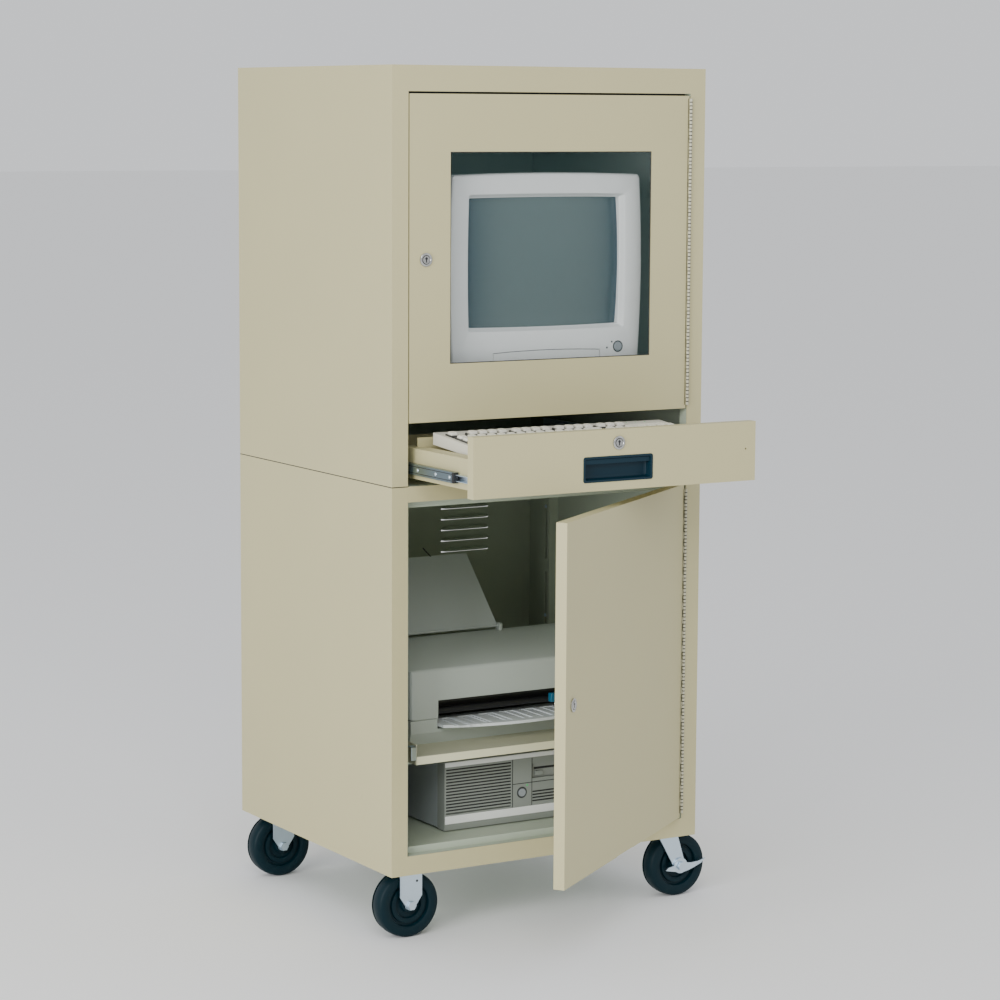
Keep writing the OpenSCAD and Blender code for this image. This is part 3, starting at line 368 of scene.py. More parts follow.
def bevel(obj, width_mm, segments=2):
    modifier = obj.modifiers.new("edge", "BEVEL")
    modifier.width = width_mm * mm
    modifier.segments = segments
    modifier.limit_method = "ANGLE"
    modifier.angle_limit = math.radians(50)
    modifier.use_clamp_overlap = True
    return modifier


painted = 0
for key, names in NODE_MATERIAL.items():
    for name in names:
        mesh = nodes[name].data
        mesh.materials.clear()
        mesh.materials.append(M[key])
        painted += 1
for name, width in BEVEL_MM.items():
    bevel(nodes[name], width)
print("painted", painted, "bevelled", len(BEVEL_MM))

# %% [markdown]
# ## Mesh tools
#
# Most shaped pieces are lofts: equal-length loops of points joined by quads. A lathe is a loft
# round an axis. `rounded` gives a rounded rectangle whose sides may bow outwards. `boxes` makes a
# piece of upright boxes.

# %% Loops, lofts and lathes


def publish(name, bm, material, sharp=35.0, body=None, hides=()):
    bmesh.ops.recalc_face_normals(bm, faces=bm.faces)
    mesh = bpy.data.meshes.new(name)
    bm.to_mesh(mesh)
    bm.free()
    mesh.materials.append(material)
    mesh.polygons.foreach_set("use_smooth", [True] * len(mesh.polygons))
    mesh.set_sharp_from_angle(angle=math.radians(sharp))
    obj = bpy.data.objects.new(name, mesh)
    scene.collection.objects.link(obj)
    if body:
        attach(obj, body)
    if hides:
        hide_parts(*hides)
    return obj


def loft(loops, closed=False, cap_start=False, cap_end=False, bm=None):
    """Join loops of points; closed also joins the last loop to the first."""
    bm = bm or bmesh.new()
    rings = [[bm.verts.new(p) for p in loop] for loop in loops]
    pairs = list(zip(rings, rings[1:]))
    if closed:
        pairs.append((rings[-1], rings[0]))
    count = len(rings[0])
    for a, b in pairs:
        for i in range(count):
            j = (i + 1) % count
            bm.faces.new((a[i], a[j], b[j], b[i]))
    if cap_start:
        bm.faces.new(rings[0])
    if cap_end:
        bm.faces.new(rings[-1])
    return bm


def rounded(width, height, radius, bow_w=0.0, bow_h=0.0, side=10, arc=8):
    """Outline in X and Z about the origin, the same number of points whatever its size."""
    hw, hh = width / 2, height / 2
    radius = min(radius, hw * 0.999, hh * 0.999)
    flat = []
    for turn, (sx, sz) in enumerate(((1, 1), (-1, 1), (-1, -1), (1, -1))):
        cx, cz = sx * (hw - radius), sz * (hh - radius)
        for i in range(arc + 1):
            a = math.radians(90 * turn + 90 * i / arc)
            flat.append((cx + radius * math.cos(a), cz + radius * math.sin(a)))
        nx, nz = ((-1, 1), (-1, -1), (1, -1), (1, 1))[turn]
        last = flat[-1]
        a = math.radians(90 * (turn + 1))
        goal = (nx * (hw - radius) + radius * math.cos(a),
                nz * (hh - radius) + radius * math.sin(a))
        for i in range(1, side):
            t = i / side
            flat.append((last[0] + (goal[0] - last[0]) * t, last[1] + (goal[1] - last[1]) * t))
    return [(x * (1 - bow_w * (z / hh) ** 2), z * (1 - bow_h * (x / hw) ** 2)) for x, z in flat]


def ring_xz(outline, where, y):
    """Outline points, in metres, put at a depth."""
    return [Vector((where.x + x, y, where.z + z)) for x, z in outline]


def profile(*pairs):
    """A lathe's (radius, along) pairs, given in millimetres."""
    return [(radius * mm, along * mm) for radius, along in pairs]


def lathe(pairs, where, steps=64, axis="Y", closed=True, bm=None, caps=False):
    """Turn (radius, along) pairs about an axis through a point."""
    loops = []
    for radius, along in pairs:
        loop = []
        for i in range(steps):
            a = 2 * math.pi * i / steps
            u, v = radius * math.cos(a), radius * math.sin(a)
            offset = {"Y": (u, along, v), "Z": (u, v, along), "X": (along, u, v)}[axis]
            loop.append(Vector(where) + Vector(offset))
        loops.append(loop)
    return loft(loops, closed=closed, cap_start=caps, cap_end=caps, bm=bm)


def slab(bm, lo, hi):
    """An upright box."""
    v = [bm.verts.new((x, y, z))
         for z in (lo[2], hi[2]) for y in (lo[1], hi[1]) for x in (lo[0], hi[0])]
    for face in ((0, 1, 3, 2), (4, 6, 7, 5), (0, 4, 5, 1), (2, 3, 7, 6), (0, 2, 6, 4),
                 (1, 5, 7, 3)):
        bm.faces.new([v[i] for i in face])
    return bm


def boxes(name, spans, material, body, edge_mm=0, segments=2):
    """One piece made of upright boxes, each given by two opposite corners."""
    bm = bmesh.new()
    for lo, hi in spans:
        slab(bm, lo, hi)
    obj = publish(name, bm, material, 40, body)
    if edge_mm:
        bevel(obj, edge_mm, segments)
    return obj


def stamp(bm, name):
    """A template mesh about the origin, to copy or to cut with."""
    bmesh.ops.recalc_face_normals(bm, faces=bm.faces)
    mesh = bpy.data.meshes.new(name)
    bm.to_mesh(mesh)
    bm.free()
    mesh.polygons.foreach_set("use_smooth", [True] * len(mesh.polygons))
    mesh.set_sharp_from_angle(angle=math.radians(35))
    obj = bpy.data.objects.new(name, mesh)
    scene.collection.objects.link(obj)
    return obj


steps = 96
print("mesh tools ready; lathe steps", steps)

# %% [markdown]
# ## Monitor
#
# The bezel's sides bow outwards and its top is crowned. It slopes in to the screen opening, which
# sits above the middle to leave a chin. The tube's face is domed both ways.

# %% Bezel, screen and lamps
blo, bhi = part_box("monitor_bezel")
bezel_mid = centre("monitor_bezel")
tlo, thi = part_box("monitor_tube")
opening = Vector((bezel_mid.x, 0, (tlo.z + thi.z) / 2))
wide, tall = bhi.x - blo.x, bhi.z - blo.z
open_w, open_h = thi.x - tlo.x + 2 * mm, thi.z - tlo.z + 2 * mm
front = blo.y


def bezel_loop(inset_mm, y_mm):
    r = max(3, 6.5 - inset_mm * 0.2) * mm
    out = rounded(wide - 2 * inset_mm * mm, tall - 2 * inset_mm * mm, r, 0.030, 0.022)
    return ring_xz(out, bezel_mid, front + y_mm * mm)


def opening_loop(grow_mm, y_mm, radius_mm):
    grow = 2 * grow_mm * mm
    out = rounded(open_w + grow, open_h + grow, radius_mm * mm, 0.012, 0.012)
    return ring_xz(out, opening, front + y_mm * mm)


loops = [bezel_loop(1.2, 35), bezel_loop(0.2, 24), bezel_loop(0, 9), bezel_loop(0.4, 5),
         bezel_loop(1.4, 2.6), bezel_loop(3.2, 1.2), bezel_loop(6, 0.6), bezel_loop(12, 0.3),
         opening_loop(7, 0.5, 4), opening_loop(4.6, 1.4, 4), opening_loop(1.2, 7, 3),
         opening_loop(0.2, 9.5, 2.5), opening_loop(-1.5, 11, 2), opening_loop(-1.8, 22, 2),
         opening_loop(-1.8, 34, 2)]
bm = loft(loops, closed=True)
face = publish("monitor_face", bm, M["monitor"], 40, "monitor", ("monitor_bezel",))

flap_lo, flap_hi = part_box("monitor_flap")
button = centre("monitor_button")


def flap_outline(grow_mm, y, foot_mm=0):
    """The control flap's outline: straight below, arched above."""
    g = grow_mm * mm
    x0, x1 = flap_lo.x - g, flap_hi.x + g
    foot = flap_lo.z - 1.5 * g + foot_mm * mm
    points = [Vector((x0, y, foot)), Vector((x1, y, foot))]
    for i in range(25):
        t = 1 - 2 * i / 24
        points.append(Vector(((x0 + x1) / 2 + t * (x1 - x0) / 2, y,
                              flap_hi.z + g + (1 - t * t) * 3.0 * mm)))
    return points


def carve(obj, cutter_bm, material):
    """Subtract a closed mesh from a piece and keep the result as its plain mesh."""
    cutter = stamp(cutter_bm, "cutter")
    cutting = obj.modifiers.new("carve", "BOOLEAN")
    cutting.object = cutter
    cutting.operation = "DIFFERENCE"
    cutting.solver = "EXACT"
    bpy.context.view_layer.update()
    depsgraph = bpy.context.evaluated_depsgraph_get()
    mesh = bpy.data.meshes.new_from_object(obj.evaluated_get(depsgraph), depsgraph=depsgraph)
    obj.modifiers.remove(cutting)
    mesh.materials.clear()
    mesh.materials.append(material)
    mesh.set_sharp_from_angle(angle=math.radians(22))
    obj.data = mesh
    bpy.data.objects.remove(cutter)


pocket = loft([flap_outline(1.2, front - 2 * mm), flap_outline(1.2, front + 8 * mm)],
              cap_start=True, cap_end=True)
button_front = Vector((button.x, front, button.z))
lathe(profile((8.4, -3), (8.4, 14)), button_front, 40, closed=False, bm=pocket,
      caps=True)
carve(face, pocket, M["monitor"])
bm = loft([flap_outline(1.1, front + 3.7 * mm, 13), flap_outline(1.1, front + 4.2 * mm, 13)],
          cap_start=True, cap_end=True)
publish("flap_shade", bm, M["shade"], 40, "monitor")
bm = loft([flap_outline(-0.4, front + 0.45 * mm), flap_outline(0, front + 0.9 * mm),
           flap_outline(0, front + 3.4 * mm)], cap_start=True, cap_end=True)
publish("control_flap", bm, M["monitor"], 30, "monitor_flap", ("monitor_flap",))

# The domed face of the tube, a grid that falls back towards its edges.
cells = 24
bm = bmesh.new()
grid = []
for j in range(cells + 1):
    row = []
    for i in range(cells + 1):
        u, v = 2 * i / cells - 1, 2 * j / cells - 1
        drop = 11.5 * (u * u + 0.7 * v * v) / 1.7 + 9.4
        row.append(bm.verts.new((opening.x + u * open_w / 2, front + drop * mm,
                                 opening.z + v * open_h / 2)))
    grid.append(row)
for j in range(cells):
    for i in range(cells):
        bm.faces.new((grid[j][i], grid[j][i + 1], grid[j + 1][i + 1], grid[j + 1][i]))
publish("screen_face", bm, M["screen"], 60, "monitor")

# Two small dots beside the button, a dark ring round it, painted shade of its gap, and its raised
# cap.
bm = bmesh.new()
for dx, dz in ((-22.5, -1.6), (-12.5, 8.4)):
    lathe(profile((0.1, -0.6), (1.5, -0.5), (1.7, 0.3), (1.7, 3)),
          Vector((button.x + dx * mm, front + 0.3 * mm, button.z + dz * mm)), 16, closed=False,
          bm=bm)
publish("monitor_dots", bm, M["shade"], 40, "monitor")
bm = lathe(profile((8.3, -0.2), (10.1, -0.2), (10.1, 2), (8.3, 2)),
           button_front, 40)
publish("button_line", bm, M["shade"], 40, "monitor")
bm = lathe(profile((0.1, -1.1), (4.6, -1.2), (6.4, -1.5), (7.6, -1.3), (8.0, -0.6), (8.0, 11),
                   (0.1, 11)), button_front, 40, closed=False)
publish("power_cap", bm, M["button"], 40, "monitor_button", ("monitor_button",))
print("monitor opening", round(open_w, 4), round(open_h, 4))

# %% [markdown]
# ## Repeats by rule
#
# Two Geometry Nodes groups make everything that repeats. `points_rule` puts a copy of one object
# at each point of a mesh, scaled by the point's `size`, and `row_rule` spaces copies evenly along
# a line. Both end in Realize Instances and Set Material and are baked to plain meshes.

# %% Geometry Nodes groups


def new_group(name, sockets):
    group = bpy.data.node_groups.new(name, "GeometryNodeTree")
    ids = {}
    for label, kind in sockets:
        item = group.interface.new_socket(name=label, in_out="INPUT", socket_type=kind)
        ids[label] = item.identifier
    group.interface.new_socket(name="Geometry", in_out="OUTPUT", socket_type="NodeSocketGeometry")
    return group, ids, group.nodes.new("NodeGroupInput"), group.nodes.new("NodeGroupOutput")


def finish_group(group, inp, out, instances):
    """Realize the instances, set the material and send them out."""
    real = group.nodes.new("GeometryNodeRealizeInstances")
    paint = group.nodes.new("GeometryNodeSetMaterial")
    group.links.new(instances, real.inputs["Geometry"])
    group.links.new(real.outputs["Geometry"], paint.inputs["Geometry"])
    group.links.new(inp.outputs["Material"], paint.inputs["Material"])
    group.links.new(paint.outputs["Geometry"], out.inputs["Geometry"])


points_rule, points_ids, inp, out = new_group("points rule", [
    ("Geometry", "NodeSocketGeometry"), ("Item", "NodeSocketObject"),
    ("Material", "NodeSocketMaterial")])
item = points_rule.nodes.new("GeometryNodeObjectInfo")
onto = points_rule.nodes.new("GeometryNodeInstanceOnPoints")
per_point = points_rule.nodes.new("GeometryNodeInputNamedAttribute")
per_point.data_type = "FLOAT_VECTOR"
per_point.inputs["Name"].default_value = "size"
points_rule.links.new(inp.outputs["Item"], item.inputs["Object"])
points_rule.links.new(inp.outputs["Geometry"], onto.inputs["Points"])
points_rule.links.new(item.outputs["Geometry"], onto.inputs["Instance"])
points_rule.links.new(per_point.outputs["Attribute"], onto.inputs["Scale"])
finish_group(points_rule, inp, out, onto.outputs["Instances"])

row_rule, row_ids, inp, out = new_group("row rule", [
    ("Item", "NodeSocketObject"), ("Material", "NodeSocketMaterial"), ("Count", "NodeSocketInt"),
    ("Start", "NodeSocketVector"), ("Step", "NodeSocketVector")])
item = row_rule.nodes.new("GeometryNodeObjectInfo")
line = row_rule.nodes.new("GeometryNodeMeshLine")
onto = row_rule.nodes.new("GeometryNodeInstanceOnPoints")
row_rule.links.new(inp.outputs["Item"], item.inputs["Object"])
row_rule.links.new(inp.outputs["Count"], line.inputs["Count"])
row_rule.links.new(inp.outputs["Start"], line.inputs["Start Location"])
row_rule.links.new(inp.outputs["Step"], line.inputs["Offset"])
row_rule.links.new(line.outputs["Mesh"], onto.inputs["Points"])
row_rule.links.new(item.outputs["Geometry"], onto.inputs["Instance"])
finish_group(row_rule, inp, out, onto.outputs["Instances"])


def bake(name, group, ids, values, base, material, body, hides=()):
    """Run a group on a base mesh, keep its result as a plain mesh, and drop the modifier."""
    holder = bpy.data.objects.new(name + " base", base)
    scene.collection.objects.link(holder)
    modifier = holder.modifiers.new("rule", "NODES")
    modifier.node_group = group
    for label, value in values.items():
        modifier[ids[label]] = value
    bpy.context.view_layer.update()
    depsgraph = bpy.context.evaluated_depsgraph_get()
    mesh = bpy.data.meshes.new_from_object(holder.evaluated_get(depsgraph), depsgraph=depsgraph)
    holder.modifiers.remove(modifier)
    bpy.data.objects.remove(holder)
    mesh.name = name
    mesh.materials.clear()
    mesh.materials.append(material)
    obj = bpy.data.objects.new(name, mesh)
    scene.collection.objects.link(obj)
    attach(obj, body)
    if hides:
        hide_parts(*hides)
    return obj


def on_points(name, template, spots, material, body, hides=()):
    """Copies of a template at (place, size) spots."""
    base = bpy.data.meshes.new(name + " spots")
    base.from_pydata([tuple(place) for place, _ in spots], [], [])
    attribute = base.attributes.new("size", "FLOAT_VECTOR", "POINT")
    attribute.data.foreach_set("vector", [c for _, scale in spots for c in scale])
    obj = bake(name, points_rule, points_ids, {"Item": template, "Material": material}, base,
               material, body, hides)
    bpy.data.objects.remove(template)
    return obj


def in_row(name, template, count, start, step, material, body, keep=False):
    """Copies of a template, evenly spaced."""
    base = bpy.data.meshes.new(name + " base")
    obj = bake(name, row_rule, row_ids, {"Item": template, "Material": material, "Count": count,
                                         "Start": tuple(start), "Step": tuple(step)},
               base, material, body)
    if not keep:
        bpy.data.objects.remove(template)
    return obj


def islands(mesh):
    """The points of each separate piece of a mesh."""
    parent = list(range(len(mesh.vertices)))

    def root(i):
        while parent[i] != i:
            parent[i] = parent[parent[i]]
            i = parent[i]
        return i

    for edge in mesh.edges:
        a, b = root(edge.vertices[0]), root(edge.vertices[1])
        parent[a] = b
    places = {}
    groups = {}
    for vertex in mesh.vertices:
        key = tuple(round(c * 1e5) for c in vertex.co)
        if key in places:
            parent[root(vertex.index)] = root(places[key])
        places[key] = vertex.index
    for vertex in mesh.vertices:
        groups.setdefault(root(vertex.index), []).append(vertex.co.copy())
    return list(groups.values())


print("rules", points_rule.name, row_rule.name)

# %% [markdown]
# ## Keyboard
#
# The model's key blocks say where each key is and how wide. Each width gets its own cap, with walls
# that lean in and a dished top, tipped to the slope of the case.

# %% Key caps
key_mesh = nodes["keyboard_keys"].data
case_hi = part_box("keyboard_case")[1]
case_rise_mm, case_run_mm = 16, 165
tip = Matrix.Rotation(math.atan(case_rise_mm / case_run_mm), 3, "X")
untip = tip.inverted()
key_foot = min((untip @ v.co).z for v in key_mesh.vertices)


def cap_plastic(name, top, foot, shade_mm=5.0):
    """Key plastic with painted shade: it darkens towards the foot of each cap, along the case's
    slope.
    """
    s = Shader(name)
    y, z = (s.add("ShaderNodeSeparateXYZ", axis, Vector=s.place) for axis in "YZ")
    height = z * untip[2][2] + y * untip[2][1] - (key_foot + 1.0 * mm)
    height = height * (1 / (shade_mm * mm))
    cloud = s.noise(1100.0, 3.0)
    s.put(Base_Color=s.mix(height.least(0.0).most(1.0), rgba(foot), rgba(top)))
    s.put(Roughness=(cloud - 0.5) * 0.1 + 0.45)
    return s.material


M["cap"] = cap_plastic("keyboard cap plastic with painted shade", (0.72, 0.70, 0.60), (0.10, 0.10, 0.085))


def flat_box(points):
    """The box of some points once the case's slope is taken off them."""
    flat = [untip @ p for p in points]
    return [Vector([pick(p[i] for p in flat) for i in range(3)]) for pick in (min, max)]


def key_cap(width, depth):
    """A key cap about its own middle, in the slope of the deck."""
    loops = []
    for inset, height, radius in ((0.9, -4.4, 1.2), (0.9, -2.6, 1.4), (2.3, 2.2, 1.8),
                                  (2.7, 3.8, 1.8), (3.5, 4.35, 1.8), (4.6, 4.1, 1.6),
                                  (5.6, 3.9, 1.4)):
        lean = 2 * inset * mm
        outline = rounded(width - lean, depth - lean, radius * mm, side=3, arc=2)
        loops.append([tip @ Vector((x, y + 0.25 * inset * mm, height * mm)) for x, y in outline])
    return loft(loops, cap_start=True, cap_end=True)


full = (1, 1, 1)
key_points = islands(key_mesh)
by_width = {}
for points in key_points:
    lo, hi = flat_box(points)
    width = round((hi.x - lo.x) / mm, 1)
    by_width.setdefault(width, []).append((tip @ ((lo + hi) / 2), (hi.y - lo.y)))
hides = ("keyboard_keys",)
for width, keys in sorted(by_width.items()):
    template = stamp(key_cap(width * mm, keys[0][1]), "cap")
    on_points("keys_%d" % round(width * 10), template, [(p, full) for p, _ in keys], M["cap"],
              "drawer", hides)
    hides = ()
lo, hi = flat_box(v.co for v in nodes["space_bar"].data.vertices)
template = stamp(key_cap(hi.x - lo.x, hi.y - lo.y), "bar")
on_points("space_bar_cap", template, [(tip @ ((lo + hi) / 2), full)], M["cap"], "space_bar",
          ("space_bar",))
print("key widths", {w: len(k) for w, k in by_width.items()})

# Dark blocks under the caps paint the shade in the gaps between them, and three status lamps stand
# beyond them.
bm = bmesh.new()
for points in key_points:
    lo, hi = flat_box(points)
    first = len(bm.verts)
    slab(bm, (lo.x - 0.45 * mm, lo.y - 0.45 * mm, key_foot),
         (hi.x + 0.45 * mm, hi.y + 0.45 * mm, key_foot + 4.4 * mm))
    bm.verts.ensure_lookup_table()
    for v in bm.verts[first:]:
        v.co = tip @ v.co
publish("key_skirts", bm, M["key_gap_shade"], 40, "drawer")
lamp_bm = lathe(profile((0.1, 0.5), (1.2, 0.4), (1.3, -1)), (0, 0, 0), 12, "Z",
                closed=False)
in_row("keyboard_lamps", stamp(lamp_bm, "lamp"), 3, off(case_hi, -75, -9, -0.9),
       (19 * mm, 0, 0), M["green"], "drawer")

# %% [markdown]
# ## Drawer pull and runners
#
# The pull is a moulded cup: a raised frame, walls that lean in and a ledge that catches the light.

# %% Pull, runner clips
plo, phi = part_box("drawer_pull")
pull_mid = centre("drawer_pull")
pw, ph = phi.x - plo.x, phi.z - plo.z


def pull_loop(inset, y, radius):
    out = rounded(pw - 2 * inset * mm, ph - 2 * inset * mm, radius * mm)
    return ring_xz(out, pull_mid, plo.y + y * mm)


depth = (phi.y - plo.y) / mm
bm = loft([pull_loop(2.3, depth, 3), pull_loop(2.3, 2.2, 3), pull_loop(0, 1.5, 4),
           pull_loop(0.2, 0.5, 4), pull_loop(0.9, 0.05, 3.6), pull_loop(2.8, 0.05, 3.2),
           pull_loop(3.8, 0.6, 3), pull_loop(4.4, 2.6, 3), pull_loop(5.8, 13, 4),
           pull_loop(8, 14.8, 4), pull_loop(11, 15.2, 4)], cap_start=True, cap_end=True)
publish("pull_cup", bm, M["blue"], 40, "drawer", ("drawer_pull",))
boxes("pull_ledge", [((plo.x + 4.8 * mm, plo.y + 3 * mm, phi.z - 13 * mm),
                      (phi.x - 4.8 * mm, plo.y + 5 * mm, phi.z - 4.6 * mm))],
      M["blue"], "drawer", 0.8)

# Black stops and rivets on the runner members, on both sides of the cabinet.
rlo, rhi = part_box("runner_middle")
rivet = lathe(profile((0.1, -1.0), (2.6, -0.6), (3.2, 0.0), (3.2, 0.3)),
              (0, 0, 0), 20, "X", closed=False)
mid_z = (rlo.z + rhi.z) / 2
mirrored = (-1, 1, 1)
spots = [(Vector((x, rlo.y + d * mm, mid_z)), scale)
         for x, scale in ((rlo.x - 0.1 * mm, full), (rhi.x + 0.1 * mm, mirrored))
         for d in (14, 60, 120)]
on_points("runner_rivets", stamp(rivet, "rivet"), spots, M["zinc"], "runner_middle")
spans = []
for x0, x1 in ((rlo.x - 0.9 * mm, rlo.x + 8.4 * mm), (rhi.x - 8.4 * mm, rhi.x + 0.9 * mm)):
    spans.append(((x0, rlo.y - 0.6 * mm, rlo.z + 0.4 * mm),
                  (x1, rlo.y + 5 * mm, rhi.z - 0.4 * mm)))
for z in (rlo.z + 3.0 * mm, rhi.z - 4.0 * mm):
    for x0, x1 in ((rlo.x - 0.25 * mm, rlo.x + 0.2 * mm), (rhi.x - 0.2 * mm, rhi.x + 0.25 * mm)):
        spans.append(((x0, rlo.y + 4 * mm, z), (x1, rhi.y - 20 * mm, z + 1.1 * mm)))
boxes("runner_stops", spans, M["dark"], "runner_middle", 0.6)

# %% [markdown]
# ## Wheels and casters
#
# Each wheel is a lathe: a crowned tread with round shoulders, a stepped dish and a hub. The plates'
# bolt heads sit under the floor pan.

# %% Wheels, hub caps and plate bolts
for name in ("wheel_front_left", "wheel_rear_left", "wheel_front_right", "wheel_rear_right"):
    where = centre(name)
    extent = size(name)
    r, h = extent.x / 2, extent.y / 2
    dish = profile((6.3, -1.5), (9, 0), (12.6, 0), (13.4, -0.8), (14.2, -8.6), (23.6, -8.6),
                   (24.6, -4.4), (27, -3.6), (32.4, -4.0), (33.4, -7.6), (37.4, -7.6),
                   (38.6, -2.0), (41.5, -0.7), (47, -0.2), (54.4, -1.0), (56.2, -2.8))
    tread = profile((-4.6, -3.0), (-3.0, -4.6), (-1.2, -8.0), (0, -13))
    half = [(rr, h + a) for rr, a in dish] + [(r + rr, h + a) for rr, a in tread]
    bm = lathe(half + [(rr, -a) for rr, a in reversed(half)], where, steps)
    publish(name + "_tyre", bm, M["rubber"], 40, name, (name,))
    cap = [(rr, h + a) for rr, a in profile((6.25, -1.2), (6.25, 0.9), (8.6, 0.9), (9.2, 0.2))]
    bm = lathe(cap, where, 32)
    lathe([(rr, -a) for rr, a in cap], where, 32, bm=bm)
    publish(name + "_bush", bm, M["zinc"], 40, name)

# A folded lip down the left edge of each rigid fork leg, and a small hole's shadow near its top.
bm = bmesh.new()
holes = bmesh.new()
fork_left_mm = 51 - 21.5
for wheel in ("wheel_front_left", "wheel_rear_left"):
    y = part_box(wheel)[0].y - 5 * mm
    x0 = cab(fork_left_mm, 0, 0).x
    slab(bm, (x0, y - 1.2 * mm, cab(0, 0, -42).z), (x0 + 2.2 * mm, y, cab(0, 0, 37).z))
    lathe(profile((0.1, -0.12), (2.2, -0.1), (2.2, 0.4)),
          (x0 + 33 * mm, y, cab(0, 0, -18).z), 16, closed=False, bm=holes)
lips = publish("fork_lips", bm, M["zinc"], 40, "cabinet")
bevel(lips, 0.7)
publish("fork_holes", holes, M["dark"], 40, "cabinet")

bolt = lathe(profile((0.1, -5), (4.2, -5), (5.6, -4.2), (5.6, -0.2)),
             (0, 0, 0), 6, "Z", closed=False)
lathe(profile((0.1, -0.9), (8, -0.9), (8, 0)), (0, 0, 0), 28, "Z", closed=False,
      bm=bolt)
plate_lo, plate_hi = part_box("swivel_plates")
rigid_lo, rigid_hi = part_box("rigid_forks")
under = plate_hi.z - 3 * mm
spots = []
for x0, x1 in ((rigid_lo.x, rigid_hi.x), (plate_lo.x, plate_hi.x)):
    for x in (x0 + 9 * mm, x1 - 9 * mm):
        for y in (rigid_lo.y + 8 * mm, rigid_lo.y + 55 * mm,
                  rigid_hi.y - 55 * mm, rigid_hi.y - 8 * mm):
            spots.append((Vector((x, y, under)), full))
on_points("caster_plate_bolts", stamp(bolt, "bolt"), spots, M["zinc"], "cabinet")
print("wheel radius", round(size("wheel_front_left").x / 2, 4), "bolts", len(spots))

# %% [markdown]
# ## Printer and shelf
#
# The printer's housing keeps the model's outline but with a soft front edge and curved top; its
# output slot is cut through and backed with a dark throat.

# %% Printer housing, throat and guides
clo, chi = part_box("printer_cover")
tray_lo, tray_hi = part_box("printer_tray")
y0, y1, z0 = clo.y, chi.y, clo.z
apex = Vector((0, y0 + 146 * mm, z0 + 118 * mm))
outline = [(y0 + 1 * mm, z0), (y0, z0 + 2 * mm), (y0, z0 + 80 * mm)]
for i in range(1, 7):
    a = math.radians(i * 75 / 6)
    outline.append((y0 + 9 * mm * (1 - math.cos(a)), z0 + 80 * mm + 9 * mm * math.sin(a)))
brow_y, brow_z = outline[-1]
for i in range(1, 9):
    t = i / 8
    outline.append((brow_y + (apex.y - brow_y) * t,
                    brow_z + (apex.z - brow_z) * (1.35 * t - 0.35 * t * t)))
outline += [(apex.y + 12 * mm, apex.z - 1.5 * mm), (y1 - 8 * mm, z0 + 96 * mm),
            (y1, z0 + 88 * mm), (y1, z0 + 2 * mm), (y1 - 1 * mm, z0)]
mid = Vector((0, (y0 + y1) / 2, z0 + 50 * mm))


def housing_loop(x, shrink_mm):
    """The housing's side outline, drawn in towards its middle."""
    loop = []
    for y, z in outline:
        dy, dz = mid.y - y, mid.z - z
        pull = shrink_mm * mm / max(math.hypot(dy, dz), 1e-6)
        loop.append(Vector((x, y + dy * pull, max(z + dz * pull, z0))))
    return loop


soft_end = ((0, 9), (0.8, 5), (3, 2), (7, 0.4), (12, 0))
loops = [housing_loop(clo.x + d * mm, shrink) for d, shrink in soft_end]
loops += [housing_loop(chi.x - d * mm, shrink) for d, shrink in reversed(soft_end)]
bm = loft(loops, cap_start=True, cap_end=True)
housing = publish("printer_body", bm, M["printer"], 32, "cabinet", ("printer_cover",))
slot_x0, slot_x1 = clo.x + 55 * mm, clo.x + 375 * mm
cut = slab(bmesh.new(), (slot_x0, y0 - 5 * mm, z0 - 2 * mm), (slot_x1, y0 + 60 * mm, z0 + 32 * mm))
carve(housing, cut, M["printer"])
bevel(housing, 0.7)

in_x0, in_x1 = slot_x0 + 1 * mm, slot_x1 - 1 * mm
spans = [((in_x0, y0 + 40 * mm, z0 - 1 * mm), (in_x1, y0 + 41 * mm, z0 + 31 * mm)),
         ((in_x0, y0 + 6 * mm, z0 + 27 * mm), (in_x1, y0 + 40 * mm, z0 + 31.5 * mm))]
boxes("printer_throat", spans, M["dark"], "cabinet")
bm = lathe([(0.0001, slot_x0 + 4 * mm), (6 * mm, slot_x0 + 4 * mm), (6 * mm, slot_x1 - 4 * mm),
            (0.0001, slot_x1 - 4 * mm)], (0, y0 + 26 * mm, z0 + 9 * mm), 24, "X", closed=False)
publish("printer_roller", bm, M["dark"], 40, "cabinet")

# Ears that hold the paper support's pivot, the slot's lever, and the tray's ribs and sheet guide.
slo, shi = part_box("paper_support")
boxes("support_ears", [((x, apex.y - 8 * mm, apex.z - 5 * mm),
                        (x + 7 * mm, apex.y + 6 * mm, clo.z + 129.6 * mm))
                       for x in (slo.x + 0.4 * mm, shi.x - 7.4 * mm)],
      M["printer"], "cabinet", 1.5, 3)
lever_x = cab(386.8, 0, 0).x
boxes("slot_lever", [((lever_x - 4 * mm, y0 + 1 * mm, z0 + 6 * mm),
                      (lever_x + 7 * mm, y0 + 12 * mm, z0 + 22 * mm))],
      M["cyan"], "cabinet", 1.2, 3)
rib_count = 15
rib = slab(bmesh.new(), (-1.2 * mm, -52 * mm, 0), (1.2 * mm, 40 * mm, 1.2 * mm))
in_row("tray_ribs", stamp(rib, "rib"), rib_count,
       (tray_lo.x + 26 * mm, tray_lo.y + 62 * mm, tray_hi.z - 1.5 * mm),
       ((tray_hi.x - tray_lo.x - 52 * mm) / (rib_count - 1), 0, 0), M["tray"], "printer_tray")
boxes("tray_guide", [((tray_hi.x - 60 * mm, tray_lo.y + 30 * mm, tray_hi.z - 0.5 * mm),
                      (tray_hi.x - 56 * mm, tray_hi.y - 60 * mm, tray_hi.z + 6 * mm))],
      M["tray"], "printer_tray", 0.8)
print("printer slot", round(slot_x1 - slot_x0, 3))

